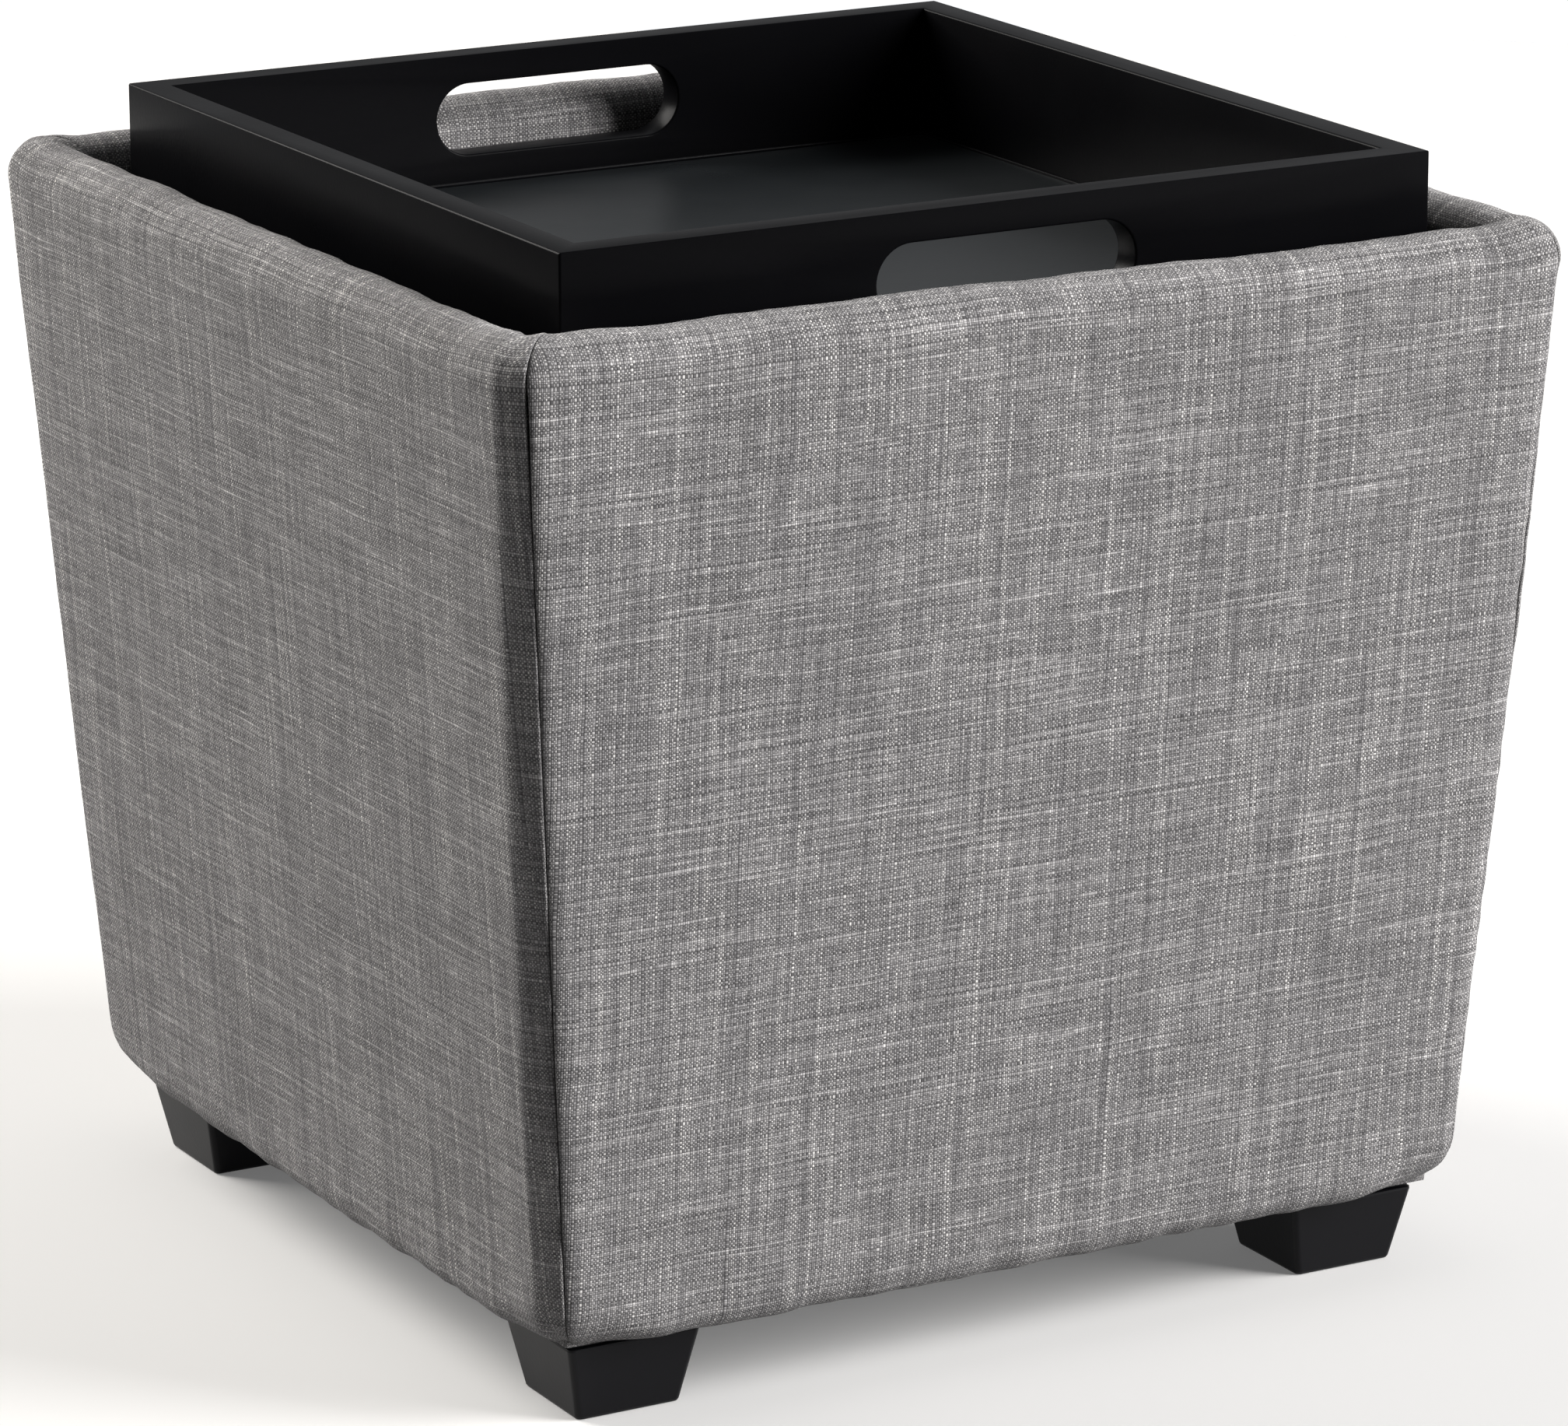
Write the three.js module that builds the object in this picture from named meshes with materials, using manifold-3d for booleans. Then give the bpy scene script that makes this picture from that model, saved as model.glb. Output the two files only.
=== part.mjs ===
// Storage ottoman: a square, gently tapered upholstered box on four short tapered feet. Its lid lifts
// straight out; one face of the lid is a black tray with two hand slots, the other is a padded cushion,
// and either face can be uppermost because the lid's board rests on ledges inside the box.
// Millimetres. +Z is up, the front is towards -Y, and the origin is on the floor under the middle.
import * as THREE from "three";
import { mergeVertices } from "three/addons/utils/BufferGeometryUtils.js";
import Module from "manifold-3d";

const wasm = await Module();
wasm.setup();

const gap = 0.3; // air between two pieces that touch

// The box's walls, outside to inside: cover, foam, board, cover again as the lining
const rimHalf = 225; // half the outside width at the roll of the rim
const rimTop = 417.3; // height of the rim
const rollZ = 403; // height at which rimHalf is measured
const lean = 0.067; // each wall moves in by this much per millimetre down
const boxBottom = 32; // underside of the upholstered box
const coverThick = 1.5; // woven cover with its backing
const foamThick = 9.5; // foam over the outside of each board
const boardThick = 15; // side board
const rimFoam = 10.7; // foam over the top edge of each board
const cornerRadius = 14; // outside vertical corners of the cover
const innerCornerRadius = 4; // inside vertical corners of the cover
const edgeRoll = 12.5; // rounding of the rim and of the bottom edge
const seamTan = 0.975; // where the front and back covers end: across divided by out
const underWrap = 25; // how far the cover turns in under the boards

// The floor of the box
const blockHeight = 18; // corner block
const blockLeg = 76; // the two equal sides of the triangular corner block
const bottomThick = 12; // bottom board
const bottomHalf = 174.4;
const liningThick = 1.1; // felt on the bottom board
const liningHalf = 172.6;
const dustThick = 0.7; // non-woven sheet under the box
const dustHalf = 184;

// Feet and what fixes them
const footSpacing = 158; // from the middle of the box to the middle of a foot, each way
const footTop = 30.7; // height of a foot
const footHalf = 21.5; // half the width of a foot at the floor
const footSplay = 0.2; // a foot's faces move out by this much per millimetre up
const footEase = 1.2; // eased edges of a foot
const boltRadius = 4; // hanger bolt
const boltLow = 8;
const boltHigh = 49;
const nutFlangeRadius = 11; // tee nut in the corner block
const nutFlangeThick = 1.5;
const nutBarrelRadius = 5.6;
const nutBarrelLength = 10;

// Ledges that the lid rests on
const ledgeTop = 379.5;
const ledgeHeight = 22;
const ledgeInner = 186.6; // from the middle of the box to a ledge's inner face
const ledgeLength = 330;
const ledgeScrewAt = 120; // either side of the middle of a ledge

// The lid
const lidHalf = 192;
const lidThick = 9;
const trayHalf = 184.3; // half the outside width of the tray's frame
const trayWall = 13.4;
const trayTop = 441.7;
const slotLength = 110; // hand slots in the front and back walls
const slotHeight = 29;
const slotZ = 415.5;
const trayEase = 0.8; // eased edges of the tray
const trayScrewAt = 120;
const cushionBaseHalf = 172;
const cushionBaseThick = 9;
const cushionHalf = 182.5;
const cushionLow = 330.4; // padded face of the cushion when the tray is uppermost
const cushionRoll = 9;
const cushionOpening = 150; // half the opening in the cover on the board's side

// Wood screws
const screwRadius = 1.75;
const screwHeadRadius = 3.5;
const screwLength = 22;
const screwClear = 0.2; // radial room round a screw

const stackZ = 600; // taller than everything, for shapes that only cut

const solidOf = (geometry) => {
  const bare = geometry.clone();
  bare.deleteAttribute("normal");
  bare.deleteAttribute("uv");
  const merged = mergeVertices(bare, 1e-4);
  return new wasm.Manifold(
    new wasm.Mesh({
      numProp: 3,
      vertProperties: merged.attributes.position.array,
      triVerts: new Uint32Array(merged.index.array),
    }),
  );
};

const geometryOf = (solid) => {
  const { numProp, numVert, vertProperties, triVerts } = solid.getMesh();
  const points = new Float32Array(numVert * 3);
  for (let i = 0; i < numVert; i++) {
    points.set(vertProperties.subarray(i * numProp, i * numProp + 3), i * 3);
  }
  const indexed = new THREE.BufferGeometry()
    .setAttribute("position", new THREE.BufferAttribute(points, 3))
    .setIndex(new THREE.BufferAttribute(triVerts, 1));
  const loose = indexed.toNonIndexed();
  loose.computeVertexNormals();
  return loose;
};

// A square outline with rounded corners
const squareOutline = (half, radius, Kind = THREE.Shape) => {
  const inner = half - radius;
  const outline = new Kind();
  outline.moveTo(inner, -half);
  outline.absarc(inner, -inner, radius, -Math.PI / 2, 0, false);
  outline.absarc(inner, inner, radius, 0, Math.PI / 2, false);
  outline.absarc(-inner, inner, radius, Math.PI / 2, Math.PI, false);
  outline.absarc(-inner, -inner, radius, Math.PI, Math.PI * 1.5, false);
  outline.closePath();
  return outline;
};

// The outline raised from low to high, with its top and bottom edges rounded inside its own size
const raised = (outline, low, high, roll = 0, rollSegments = 4) => {
  const geometry = new THREE.ExtrudeGeometry(outline, {
    depth: high - low - 2 * roll,
    bevelEnabled: roll > 0,
    bevelThickness: roll,
    bevelSize: roll,
    bevelOffset: -roll,
    bevelSegments: rollSegments,
    curveSegments: 3,
  });
  return geometry.translate(0, 0, low + roll);
};

// Moves the points of a square shape outwards with height, so that its walls slope
const sloped = (geometry, perMillimetre, levelZ) => {
  const p = geometry.attributes.position;
  for (let i = 0; i < p.count; i++) {
    const move = (p.getZ(i) - levelZ) * perMillimetre;
    p.setX(i, p.getX(i) + Math.sign(p.getX(i)) * move);
    p.setY(i, p.getY(i) + Math.sign(p.getY(i)) * move);
  }
  return geometry;
};

const block = (halfX, halfY, low, high) =>
  new THREE.BoxGeometry(2 * halfX, 2 * halfY, high - low).translate(0, 0, (low + high) / 2);

// A wall all the way round the box, between two distances from the middle, sloping with the box and
// rounded along its top
const wallRing = (outerHalf, innerHalf, low, high, roll, outerRadius, innerRadius) => {
  const outline = squareOutline(outerHalf, outerRadius);
  outline.holes.push(squareOutline(innerHalf, innerRadius, THREE.Path));
  return solidOf(sloped(raised(outline, low, high, roll), lean, rollZ));
};

// The upholstered wall, taken in all round by an inset: round along the rim's two sides and the
// bottom's outside edge, square along the bottom's inside edge
const wallShape = (inset) => {
  const roll = edgeRoll - inset;
  const ring = wallRing(
    rimHalf - inset,
    openingHalf + inset,
    boxBottom - 2 * edgeRoll,
    rimTop - inset,
    roll,
    cornerRadius - inset,
    innerCornerRadius + inset,
  );
  const outline = squareOutline(rimHalf - inset + 0.02, cornerRadius - inset);
  const bottomRound = raised(outline, boxBottom + inset, rimTop + 2 * edgeRoll, roll);
  return ring.intersect(solidOf(sloped(bottomRound, lean, rollZ)));
};

const slopedBlock = (half, low, high) =>
  solidOf(sloped(block(half, half, low, high), lean, rollZ));

// One side's share of the box, seen from above: everything within "across divided by out" of that side
const sideShare = (side, tan) => {
  const back = (gap / 2) * Math.hypot(1, tan);
  const far = 2 * rimHalf;
  const outline = new THREE.Shape([
    new THREE.Vector2(0, -back / tan),
    new THREE.Vector2(-far * tan + back, -far),
    new THREE.Vector2(far * tan - back, -far),
  ]);
  const share = new THREE.ExtrudeGeometry(outline, { depth: 2 * stackZ, bevelEnabled: false });
  return solidOf(share.translate(0, 0, -stackZ).rotateZ((side * Math.PI) / 2));
};
const sides = ["front", "right", "back", "left"]; // each a quarter turn on from the one before

// Turned shapes: a profile of [radius, height] pairs from the axis back to the axis, upwards
const turned = (profile, segments = 20) =>
  new THREE.LatheGeometry(
    profile.map(([r, h]) => new THREE.Vector2(r, h)),
    segments,
  ).rotateX(Math.PI / 2);

// A countersunk wood screw, its head's face at the origin and its point towards +Z
const screwShape = (room = 0) =>
  turned(
    [
      [0, room ? -1 : 0],
      ...(room ? [[screwHeadRadius + room, -1]] : []),
      [screwHeadRadius + room, 0.4],
      [screwRadius + room, 2.6],
      [screwRadius + room, screwLength - 5],
      [0.4 + room, screwLength + room],
      [0, screwLength + room],
    ],
    16,
  );

const ottoman = new THREE.Group();
ottoman.name = "ottoman_with_storage";
const box = new THREE.Group();
box.name = "box";
const lid = new THREE.Group();
lid.name = "lid";
ottoman.add(box, lid);

const paint = {
  linen: { color: 0x8e8b89, roughness: 0.95, metalness: 0 },
  foam: { color: 0xe6dfc8, roughness: 0.95, metalness: 0 },
  fibreboard: { color: 0xb39a74, roughness: 0.85, metalness: 0 },
  plywood: { color: 0xc9ab7c, roughness: 0.75, metalness: 0 },
  blackWood: { color: 0x16181a, roughness: 0.38, metalness: 0 },
  felt: { color: 0x222224, roughness: 0.98, metalness: 0 },
  steel: { color: 0xb4b8bc, roughness: 0.35, metalness: 1 },
};

const place = (group, name, shape, look) => {
  const geometry = shape.isBufferGeometry ? shape : geometryOf(shape);
  const mesh = new THREE.Mesh(geometry, new THREE.MeshStandardMaterial(look));
  mesh.name = name;
  group.add(mesh);
  return mesh;
};

// ---- Distances from the middle of the box to each layer, at the roll of the rim ----
const foamOuter = rimHalf - coverThick - gap;
const foamInner = foamOuter - foamThick;
const boardOuter = foamInner - gap;
const boardInner = boardOuter - boardThick;
const liningOuter = boardInner - gap;
const openingHalf = liningOuter - coverThick;
const boardLow = boxBottom + coverThick + gap;
const boardHigh = rimTop - coverThick - gap - rimFoam - gap;

// ---- Ledges and their screws, made first so that the walls can be drilled for the screws ----
const ledgeRing = solidOf(
  sloped(block(openingHalf - gap, openingHalf - gap, ledgeTop - ledgeHeight, ledgeTop), lean, rollZ),
).subtract(solidOf(block(ledgeInner, ledgeInner, 0, stackZ)));
const ledgeScrewZ = ledgeTop - ledgeHeight / 2;
const alongSide = (geometry, side, across) =>
  geometry
    .clone()
    .rotateX(Math.PI / 2)
    .translate(across, -ledgeInner, ledgeScrewZ)
    .rotateZ((side * Math.PI) / 2);
const ledgeDrill = sides
  .flatMap((_, side) =>
    [-ledgeScrewAt, ledgeScrewAt].map((at) => solidOf(alongSide(screwShape(screwClear), side, at))),
  )
  .reduce((all, one) => all.add(one));

sides.forEach((name, side) => {
  const span = solidOf(
    block(ledgeLength / 2, rimHalf, 0, stackZ)
      .translate(0, -rimHalf, 0)
      .rotateZ((side * Math.PI) / 2),
  );
  place(box, `${name}_ledge`, ledgeRing.intersect(span).subtract(ledgeDrill), paint.plywood);
  ["a", "b"].forEach((which, i) => {
    const at = i ? ledgeScrewAt : -ledgeScrewAt;
    place(box, `${name}_ledge_screw_${which}`, alongSide(screwShape(), side, at), paint.steel);
  });
});

// ---- Side boards, foam and covers ----
const boards = wallRing(boardOuter, boardInner, boardLow, boardHigh, 0, 0.5, 0.5).subtract(ledgeDrill);
const foam = wallShape(coverThick + gap).subtract(slopedBlock(foamInner, 0, boardHigh + gap));
const liningLow = boxBottom + coverThick + gap + blockHeight + gap + bottomThick + gap + liningThick + gap;
const cover = wallShape(0)
  .subtract(wallShape(coverThick))
  .subtract(slopedBlock(rimHalf - underWrap, -stackZ, liningLow))
  .subtract(ledgeDrill);

sides.forEach((name, side) => {
  const mitre = sideShare(side, 1);
  const coverShare = sideShare(side, side % 2 ? 1 / seamTan : seamTan);
  place(box, `${name}_side_board`, boards.intersect(mitre), paint.fibreboard);
  place(box, `${name}_foam_pad`, foam.intersect(mitre), paint.foam);
  place(box, `${name}_cover`, cover.intersect(coverShare), paint.linen);
});

// ---- Corner blocks, tee nuts, hanger bolts and feet ----
const blockLow = boardLow;
const blockHigh = blockLow + blockHeight;
const blockCorner = boardInner - (rollZ - blockLow) * lean - gap;
const corners = {
  front_left: [-1, -1],
  front_right: [1, -1],
  back_right: [1, 1],
  back_left: [-1, 1],
};
const nutTop = blockHigh - gap;

Object.entries(corners).forEach(([name, [toX, toY]], turn) => {
  const cornerTurn = (turn * Math.PI) / 2; // the front left corner, turned to each of the others
  const outline = new THREE.Shape([
    new THREE.Vector2(-blockCorner, -blockCorner),
    new THREE.Vector2(-blockCorner + blockLeg, -blockCorner),
    new THREE.Vector2(-blockCorner + blockLeg, -blockCorner + 12),
    new THREE.Vector2(-blockCorner + 12, -blockCorner + blockLeg),
    new THREE.Vector2(-blockCorner, -blockCorner + blockLeg),
  ]);
  const boltHole = turned([
    [0, 0],
    [nutBarrelRadius + gap, 0],
    [nutBarrelRadius + gap, nutTop - nutFlangeThick - gap],
    [nutFlangeRadius + gap, nutTop - nutFlangeThick - gap],
    [nutFlangeRadius + gap, stackZ],
    [0, stackZ],
  ]).translate(-footSpacing, -footSpacing, 0);
  const cornerBlock = solidOf(raised(outline, blockLow, blockHigh)).subtract(solidOf(boltHole));
  place(box, `${name}_corner_block`, cornerBlock, paint.plywood).rotation.z = cornerTurn;

  const nut = turned([
    [boltRadius + gap, nutTop - nutFlangeThick - nutBarrelLength],
    [nutBarrelRadius, nutTop - nutFlangeThick - nutBarrelLength],
    [nutBarrelRadius, nutTop - nutFlangeThick],
    [nutFlangeRadius, nutTop - nutFlangeThick],
    [nutFlangeRadius, nutTop],
    [boltRadius + gap, nutTop],
    [boltRadius + gap, nutTop - nutFlangeThick - nutBarrelLength],
  ]);
  place(box, `${name}_tee_nut`, nut, paint.steel).position.set(toX * footSpacing, toY * footSpacing, 0);

  const bolt = turned([
    [0, boltLow],
    [boltRadius - 1.5, boltLow],
    [boltRadius, boltLow + 4],
    [boltRadius, boltHigh - 1],
    [boltRadius - 1, boltHigh],
    [0, boltHigh],
  ]);
  place(box, `${name}_hanger_bolt`, bolt, paint.steel).position.set(
    toX * footSpacing,
    toY * footSpacing,
    0,
  );

  const socket = turned([
    [0, boltLow - gap],
    [boltRadius + gap, boltLow - gap],
    [boltRadius + gap, stackZ],
    [0, stackZ],
  ]);
  const footBlank = sloped(
    raised(squareOutline(footHalf, footEase * 2), 0, footTop, footEase, 2),
    footSplay,
    0,
  );
  const foot = solidOf(footBlank).subtract(solidOf(socket));
  place(box, `${name}_foot`, foot, paint.blackWood).position.set(toX * footSpacing, toY * footSpacing, 0);
});

// ---- Bottom board, its lining, and the dust cover under the box ----
const bottomLow = blockHigh + gap;
const liningBottom = bottomLow + bottomThick + gap;
place(box, "bottom_board", block(bottomHalf, bottomHalf, bottomLow, bottomLow + bottomThick), paint.plywood);
place(
  box,
  "bottom_lining",
  block(liningHalf, liningHalf, liningBottom, liningBottom + liningThick),
  paint.felt,
);
const boltClearance = Object.values(corners)
  .map(([toX, toY]) =>
    solidOf(
      new THREE.CylinderGeometry(boltRadius + 1, boltRadius + 1, stackZ, 20)
        .rotateX(Math.PI / 2)
        .translate(toX * footSpacing, toY * footSpacing, 0),
    ),
  )
  .reduce((all, one) => all.add(one));
const dustLow = boxBottom - gap - dustThick;
place(
  box,
  "dust_cover",
  solidOf(block(dustHalf, dustHalf, dustLow, dustLow + dustThick)).subtract(boltClearance),
  paint.felt,
);

// ---- Lid: tray frame on a board, cushion beneath ----
const lidLow = ledgeTop + gap;
const trayFloor = lidLow + lidThick;
const wallLow = trayFloor + gap;
const trayScrew = (room, at) => screwShape(room).translate(at, -(trayHalf - trayWall / 2), lidLow);
const trayDrill = [0, Math.PI]
  .flatMap((turn) =>
    [-trayScrewAt, trayScrewAt].map((at) => solidOf(trayScrew(screwClear, at).rotateZ(turn))),
  )
  .reduce((all, one) => all.add(one));

const lidBoard = raised(squareOutline(lidHalf, 3), lidLow, trayFloor, trayEase, 2);
place(lid, "lid_board", solidOf(lidBoard).subtract(trayDrill), paint.blackWood);

const slotOutline = () => {
  const end = slotLength / 2 - slotHeight / 2;
  const radius = slotHeight / 2;
  const slot = new THREE.Path();
  slot.moveTo(-end, slotZ - radius);
  slot.absarc(end, slotZ, radius, -Math.PI / 2, Math.PI / 2, false);
  slot.absarc(-end, slotZ, radius, Math.PI / 2, Math.PI * 1.5, false);
  return slot;
};
sides.forEach((name, side) => {
  const face = new THREE.Shape([
    new THREE.Vector2(-trayHalf, wallLow),
    new THREE.Vector2(trayHalf, wallLow),
    new THREE.Vector2(trayHalf, trayTop),
    new THREE.Vector2(-trayHalf, trayTop),
  ]);
  const slotted = side % 2 === 0;
  if (slotted) face.holes.push(slotOutline());
  const wall = new THREE.ExtrudeGeometry(face, {
    depth: trayWall - 2 * trayEase,
    bevelEnabled: true,
    bevelThickness: trayEase,
    bevelSize: trayEase,
    bevelOffset: -trayEase,
    bevelSegments: 2,
    curveSegments: 8,
  })
    .rotateX(Math.PI / 2)
    .translate(0, -trayHalf + trayWall - trayEase, 0)
    .rotateZ((side * Math.PI) / 2);
  const mitred = solidOf(wall).intersect(sideShare(side, 1));
  place(lid, `tray_${name}_wall`, slotted ? mitred.subtract(trayDrill) : mitred, paint.blackWood);
});
[
  ["tray_front_screw_a", -trayScrewAt, 0],
  ["tray_front_screw_b", trayScrewAt, 0],
  ["tray_back_screw_a", trayScrewAt, Math.PI],
  ["tray_back_screw_b", -trayScrewAt, Math.PI],
].forEach(([name, at, turn]) => {
  place(lid, name, trayScrew(0, at).rotateZ(turn), paint.steel);
});

const cushionTop = lidLow - gap;
const baseHigh = cushionTop - coverThick - gap;
const baseLow = baseHigh - cushionBaseThick;
const cushionSkin = (inset, roll) =>
  solidOf(
    raised(
      squareOutline(cushionHalf - inset, cornerRadius - inset),
      cushionLow + inset,
      cushionTop - inset,
      roll,
    ),
  );
place(
  lid,
  "cushion_cover",
  cushionSkin(0, cushionRoll)
    .subtract(cushionSkin(coverThick, cushionRoll - coverThick))
    .subtract(solidOf(block(cushionOpening, cushionOpening, baseLow, stackZ))),
  paint.linen,
);
const foamInset = coverThick + gap;
place(
  lid,
  "cushion_foam",
  cushionSkin(foamInset, cushionRoll - foamInset).intersect(
    solidOf(block(rimHalf, rimHalf, 0, baseLow - gap)),
  ),
  paint.foam,
);
place(
  lid,
  "cushion_base",
  block(cushionBaseHalf, cushionBaseHalf, baseLow, baseHigh),
  paint.plywood,
);

export default ottoman;
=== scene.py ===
import math

import bmesh
import bpy
import numpy as np
from mathutils import Matrix, Vector, noise


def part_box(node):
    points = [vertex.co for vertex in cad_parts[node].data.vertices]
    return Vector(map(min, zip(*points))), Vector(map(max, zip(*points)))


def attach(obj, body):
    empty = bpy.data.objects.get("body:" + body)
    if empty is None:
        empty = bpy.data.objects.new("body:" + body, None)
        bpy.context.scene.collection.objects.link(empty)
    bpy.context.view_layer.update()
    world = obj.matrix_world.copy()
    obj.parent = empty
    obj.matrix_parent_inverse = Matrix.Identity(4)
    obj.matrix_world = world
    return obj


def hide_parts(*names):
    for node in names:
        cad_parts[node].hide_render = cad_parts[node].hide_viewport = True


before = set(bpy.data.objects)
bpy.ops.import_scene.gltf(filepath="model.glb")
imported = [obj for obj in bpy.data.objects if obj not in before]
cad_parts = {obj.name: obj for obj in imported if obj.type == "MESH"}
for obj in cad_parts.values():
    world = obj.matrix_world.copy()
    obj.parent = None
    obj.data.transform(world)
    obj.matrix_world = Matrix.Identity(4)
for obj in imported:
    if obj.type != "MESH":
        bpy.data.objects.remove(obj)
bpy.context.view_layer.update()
print("frame loaded:", len(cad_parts), "CAD nodes")

mm = 0.001
sideNames = ["front", "right", "back", "left"]  # each a quarter turn on from the one before
cornerNames = ["front_left", "front_right", "back_right", "back_left"]


# helpers

def toLinear(hexColour):
    # sRGB hex to the linear numbers that the shaders work in
    channels = [int(hexColour[i:i + 2], 16) / 255 for i in (1, 3, 5)]
    return tuple(c / 12.92 if c <= 0.04045 else ((c + 0.055) / 1.055) ** 2.4 for c in channels) + (1.0,)


def addNode(tree, kind, links=None, **settings):
    # links: socket name or number -> a value, an output socket, or a node whose first output is meant
    node = tree.nodes.new(kind)
    for key, value in settings.items():
        setattr(node, key, value)
    for key, value in (links or {}).items():
        if isinstance(value, bpy.types.Node):
            value = value.outputs[0]
        if isinstance(value, bpy.types.NodeSocket):
            tree.links.new(value, node.inputs[key])
        else:
            node.inputs[key].default_value = value
    return node


def startMaterial(name, sockets):
    material = bpy.data.materials.new(name)
    material.use_nodes = True
    tree = material.node_tree
    surface = tree.nodes["Principled BSDF"]
    for key, value in sockets.items():
        surface.inputs[key].default_value = value
    return material, tree, surface


def endMaterial(tree, surface, colour=None, roughness=None, height=None, relief=0.0, strength=1.0):
    # relief is the height of the bump in metres
    if colour is not None:
        tree.links.new(colour, surface.inputs["Base Color"])
    if roughness is not None:
        tree.links.new(roughness, surface.inputs["Roughness"])
    if height is not None:
        bump = addNode(tree, "ShaderNodeBump",
                       {"Height": height, "Distance": relief, "Strength": strength})
        tree.links.new(bump.outputs[0], surface.inputs["Normal"])


def meshPiece(name, points, faces, material, smooth=True):
    # points in millimetres, faces as lists of point numbers
    mesh = bpy.data.meshes.new(name)
    mesh.from_pydata((np.asarray(points, float) * mm).tolist(), [], faces)
    mesh.materials.append(material)
    mesh.polygons.foreach_set("use_smooth", [smooth] * len(mesh.polygons))
    piece = bpy.data.objects.new(name, mesh)
    bpy.context.scene.collection.objects.link(piece)
    return piece


def faceOutwards(piece, mergeDistance=0.0):
    work = bmesh.new()
    work.from_mesh(piece.data)
    if mergeDistance:
        bmesh.ops.remove_doubles(work, verts=work.verts, dist=mergeDistance)
    bmesh.ops.recalc_face_normals(work, faces=work.faces)
    work.to_mesh(piece.data)
    work.free()


def applyModifiers(piece):
    # the evaluated shape becomes the piece's own plain mesh
    bpy.context.view_layer.update()
    graph = bpy.context.evaluated_depsgraph_get()
    made = bpy.data.meshes.new_from_object(piece.evaluated_get(graph), depsgraph=graph)
    piece.modifiers.clear()
    old = piece.data
    piece.data = made
    made.name = piece.name
    bpy.data.meshes.remove(old)
    return piece


def gridFaces(rows, columns, loopRows=False, loopColumns=True, capped=False):
    # faces between rows of points; a loop joins the last row or column to the first, caps close the ends
    faces = []
    for r in range(rows if loopRows else rows - 1):
        below = (r + 1) % rows
        for k in range(columns if loopColumns else columns - 1):
            m = (k + 1) % columns
            faces.append([r * columns + k, r * columns + m, below * columns + m, below * columns + k])
    if capped:
        faces.append(list(range(columns)))
        faces.append(list(range((rows - 1) * columns, rows * columns)))
    return faces


def smoothByAngle(piece, degrees):
    work = bmesh.new()
    work.from_mesh(piece.data)
    for face in work.faces:
        face.smooth = True
    for edge in work.edges:
        if len(edge.link_faces) == 2:
            edge.smooth = edge.calc_face_angle(0.0) < math.radians(degrees)
    work.to_mesh(piece.data)
    work.free()
    return piece


def markPoints(piece, values):
    # the place of every point in the weave, in mm
    mark = piece.data.attributes.new("weavePlace", "FLOAT_VECTOR", "POINT")
    mark.data.foreach_set("vector", np.asarray(values, np.float32).ravel())


def smoothNoise(x, y, seed):
    # gentle noise from about -1 to 1 over arrays or numbers
    x, y = np.broadcast_arrays(x, y)
    spots = zip(x.ravel().tolist(), y.ravel().tolist())
    values = [noise.noise(Vector((across, up, 17.3 * seed))) for across, up in spots]
    return np.array(values).reshape(x.shape) * 1.6


def smoothStep(x, low, high):
    t = np.clip((x - low) / (high - low), 0, 1)
    return t * t * (3 - 2 * t)


# camera, lights, floor

camera = {
    "place": (-1347.42, -2435.62, 984.04),  # mm
    "ahead": (0.468309, 0.841242, -0.270182),
    "roll": -0.171,  # degrees
    "lens": 168.53,
}
ahead = Vector(camera["ahead"]).normalized()
levelRight = ahead.cross(Vector((0, 0, 1))).normalized()
levelUp = levelRight.cross(ahead)
roll = math.radians(camera["roll"])
cameraRight = levelRight * math.cos(roll) + levelUp * math.sin(roll)
cameraUp = levelUp * math.cos(roll) - levelRight * math.sin(roll)
cameraData = bpy.data.cameras.new("mainCamera")
cameraData.lens = camera["lens"]
cameraData.sensor_width = 36
cameraData.clip_start = 0.1
cameraData.clip_end = 60
cameraObject = bpy.data.objects.new("mainCamera", cameraData)
bpy.context.scene.collection.objects.link(cameraObject)
turn = Matrix((cameraRight, cameraUp, -ahead)).transposed().to_4x4()
cameraObject.matrix_world = Matrix.Translation(Vector(camera["place"]) * mm) @ turn
bpy.context.scene.camera = cameraObject
bpy.context.scene.view_settings.view_transform = "Standard"

softboxes = {
    "keySoftbox": {
        "azimuth": 50,  # degrees round from the front towards the right
        "height": 24,  # degrees up
        "power": 600,
        "colour": "#fffefe",
        "distance": 6.0,  # m
        "size": 3.7,
    },
    "sideSoftbox": {
        "azimuth": -147,
        "height": 32,
        "power": 208,
        "colour": "#fffcf8",
        "distance": 4.2,
        "size": 2.6,
    },
}
studio = {
    "aimHeight": 0.2,  # m, what the lights look at
    "roomFront": 0.03,  # brightness of the room on the camera's side
    "roomBack": 0.3,  # and behind the object
    "roomSeen": 1.04,  # and where the camera looks past the floor
    "roomColour": (0.97, 0.98, 1.0, 1.0),
    "floor": "#f3f2f0",
    "floorCloud": "#eeedeb",
    "floorRadius": 2600,  # mm
    "floorGlow": 0.13,  # a lit sweep has hardly any shadow on it
    "floorBounce": "#343333",  # light thrown back up is that of a grey studio floor
}


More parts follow.
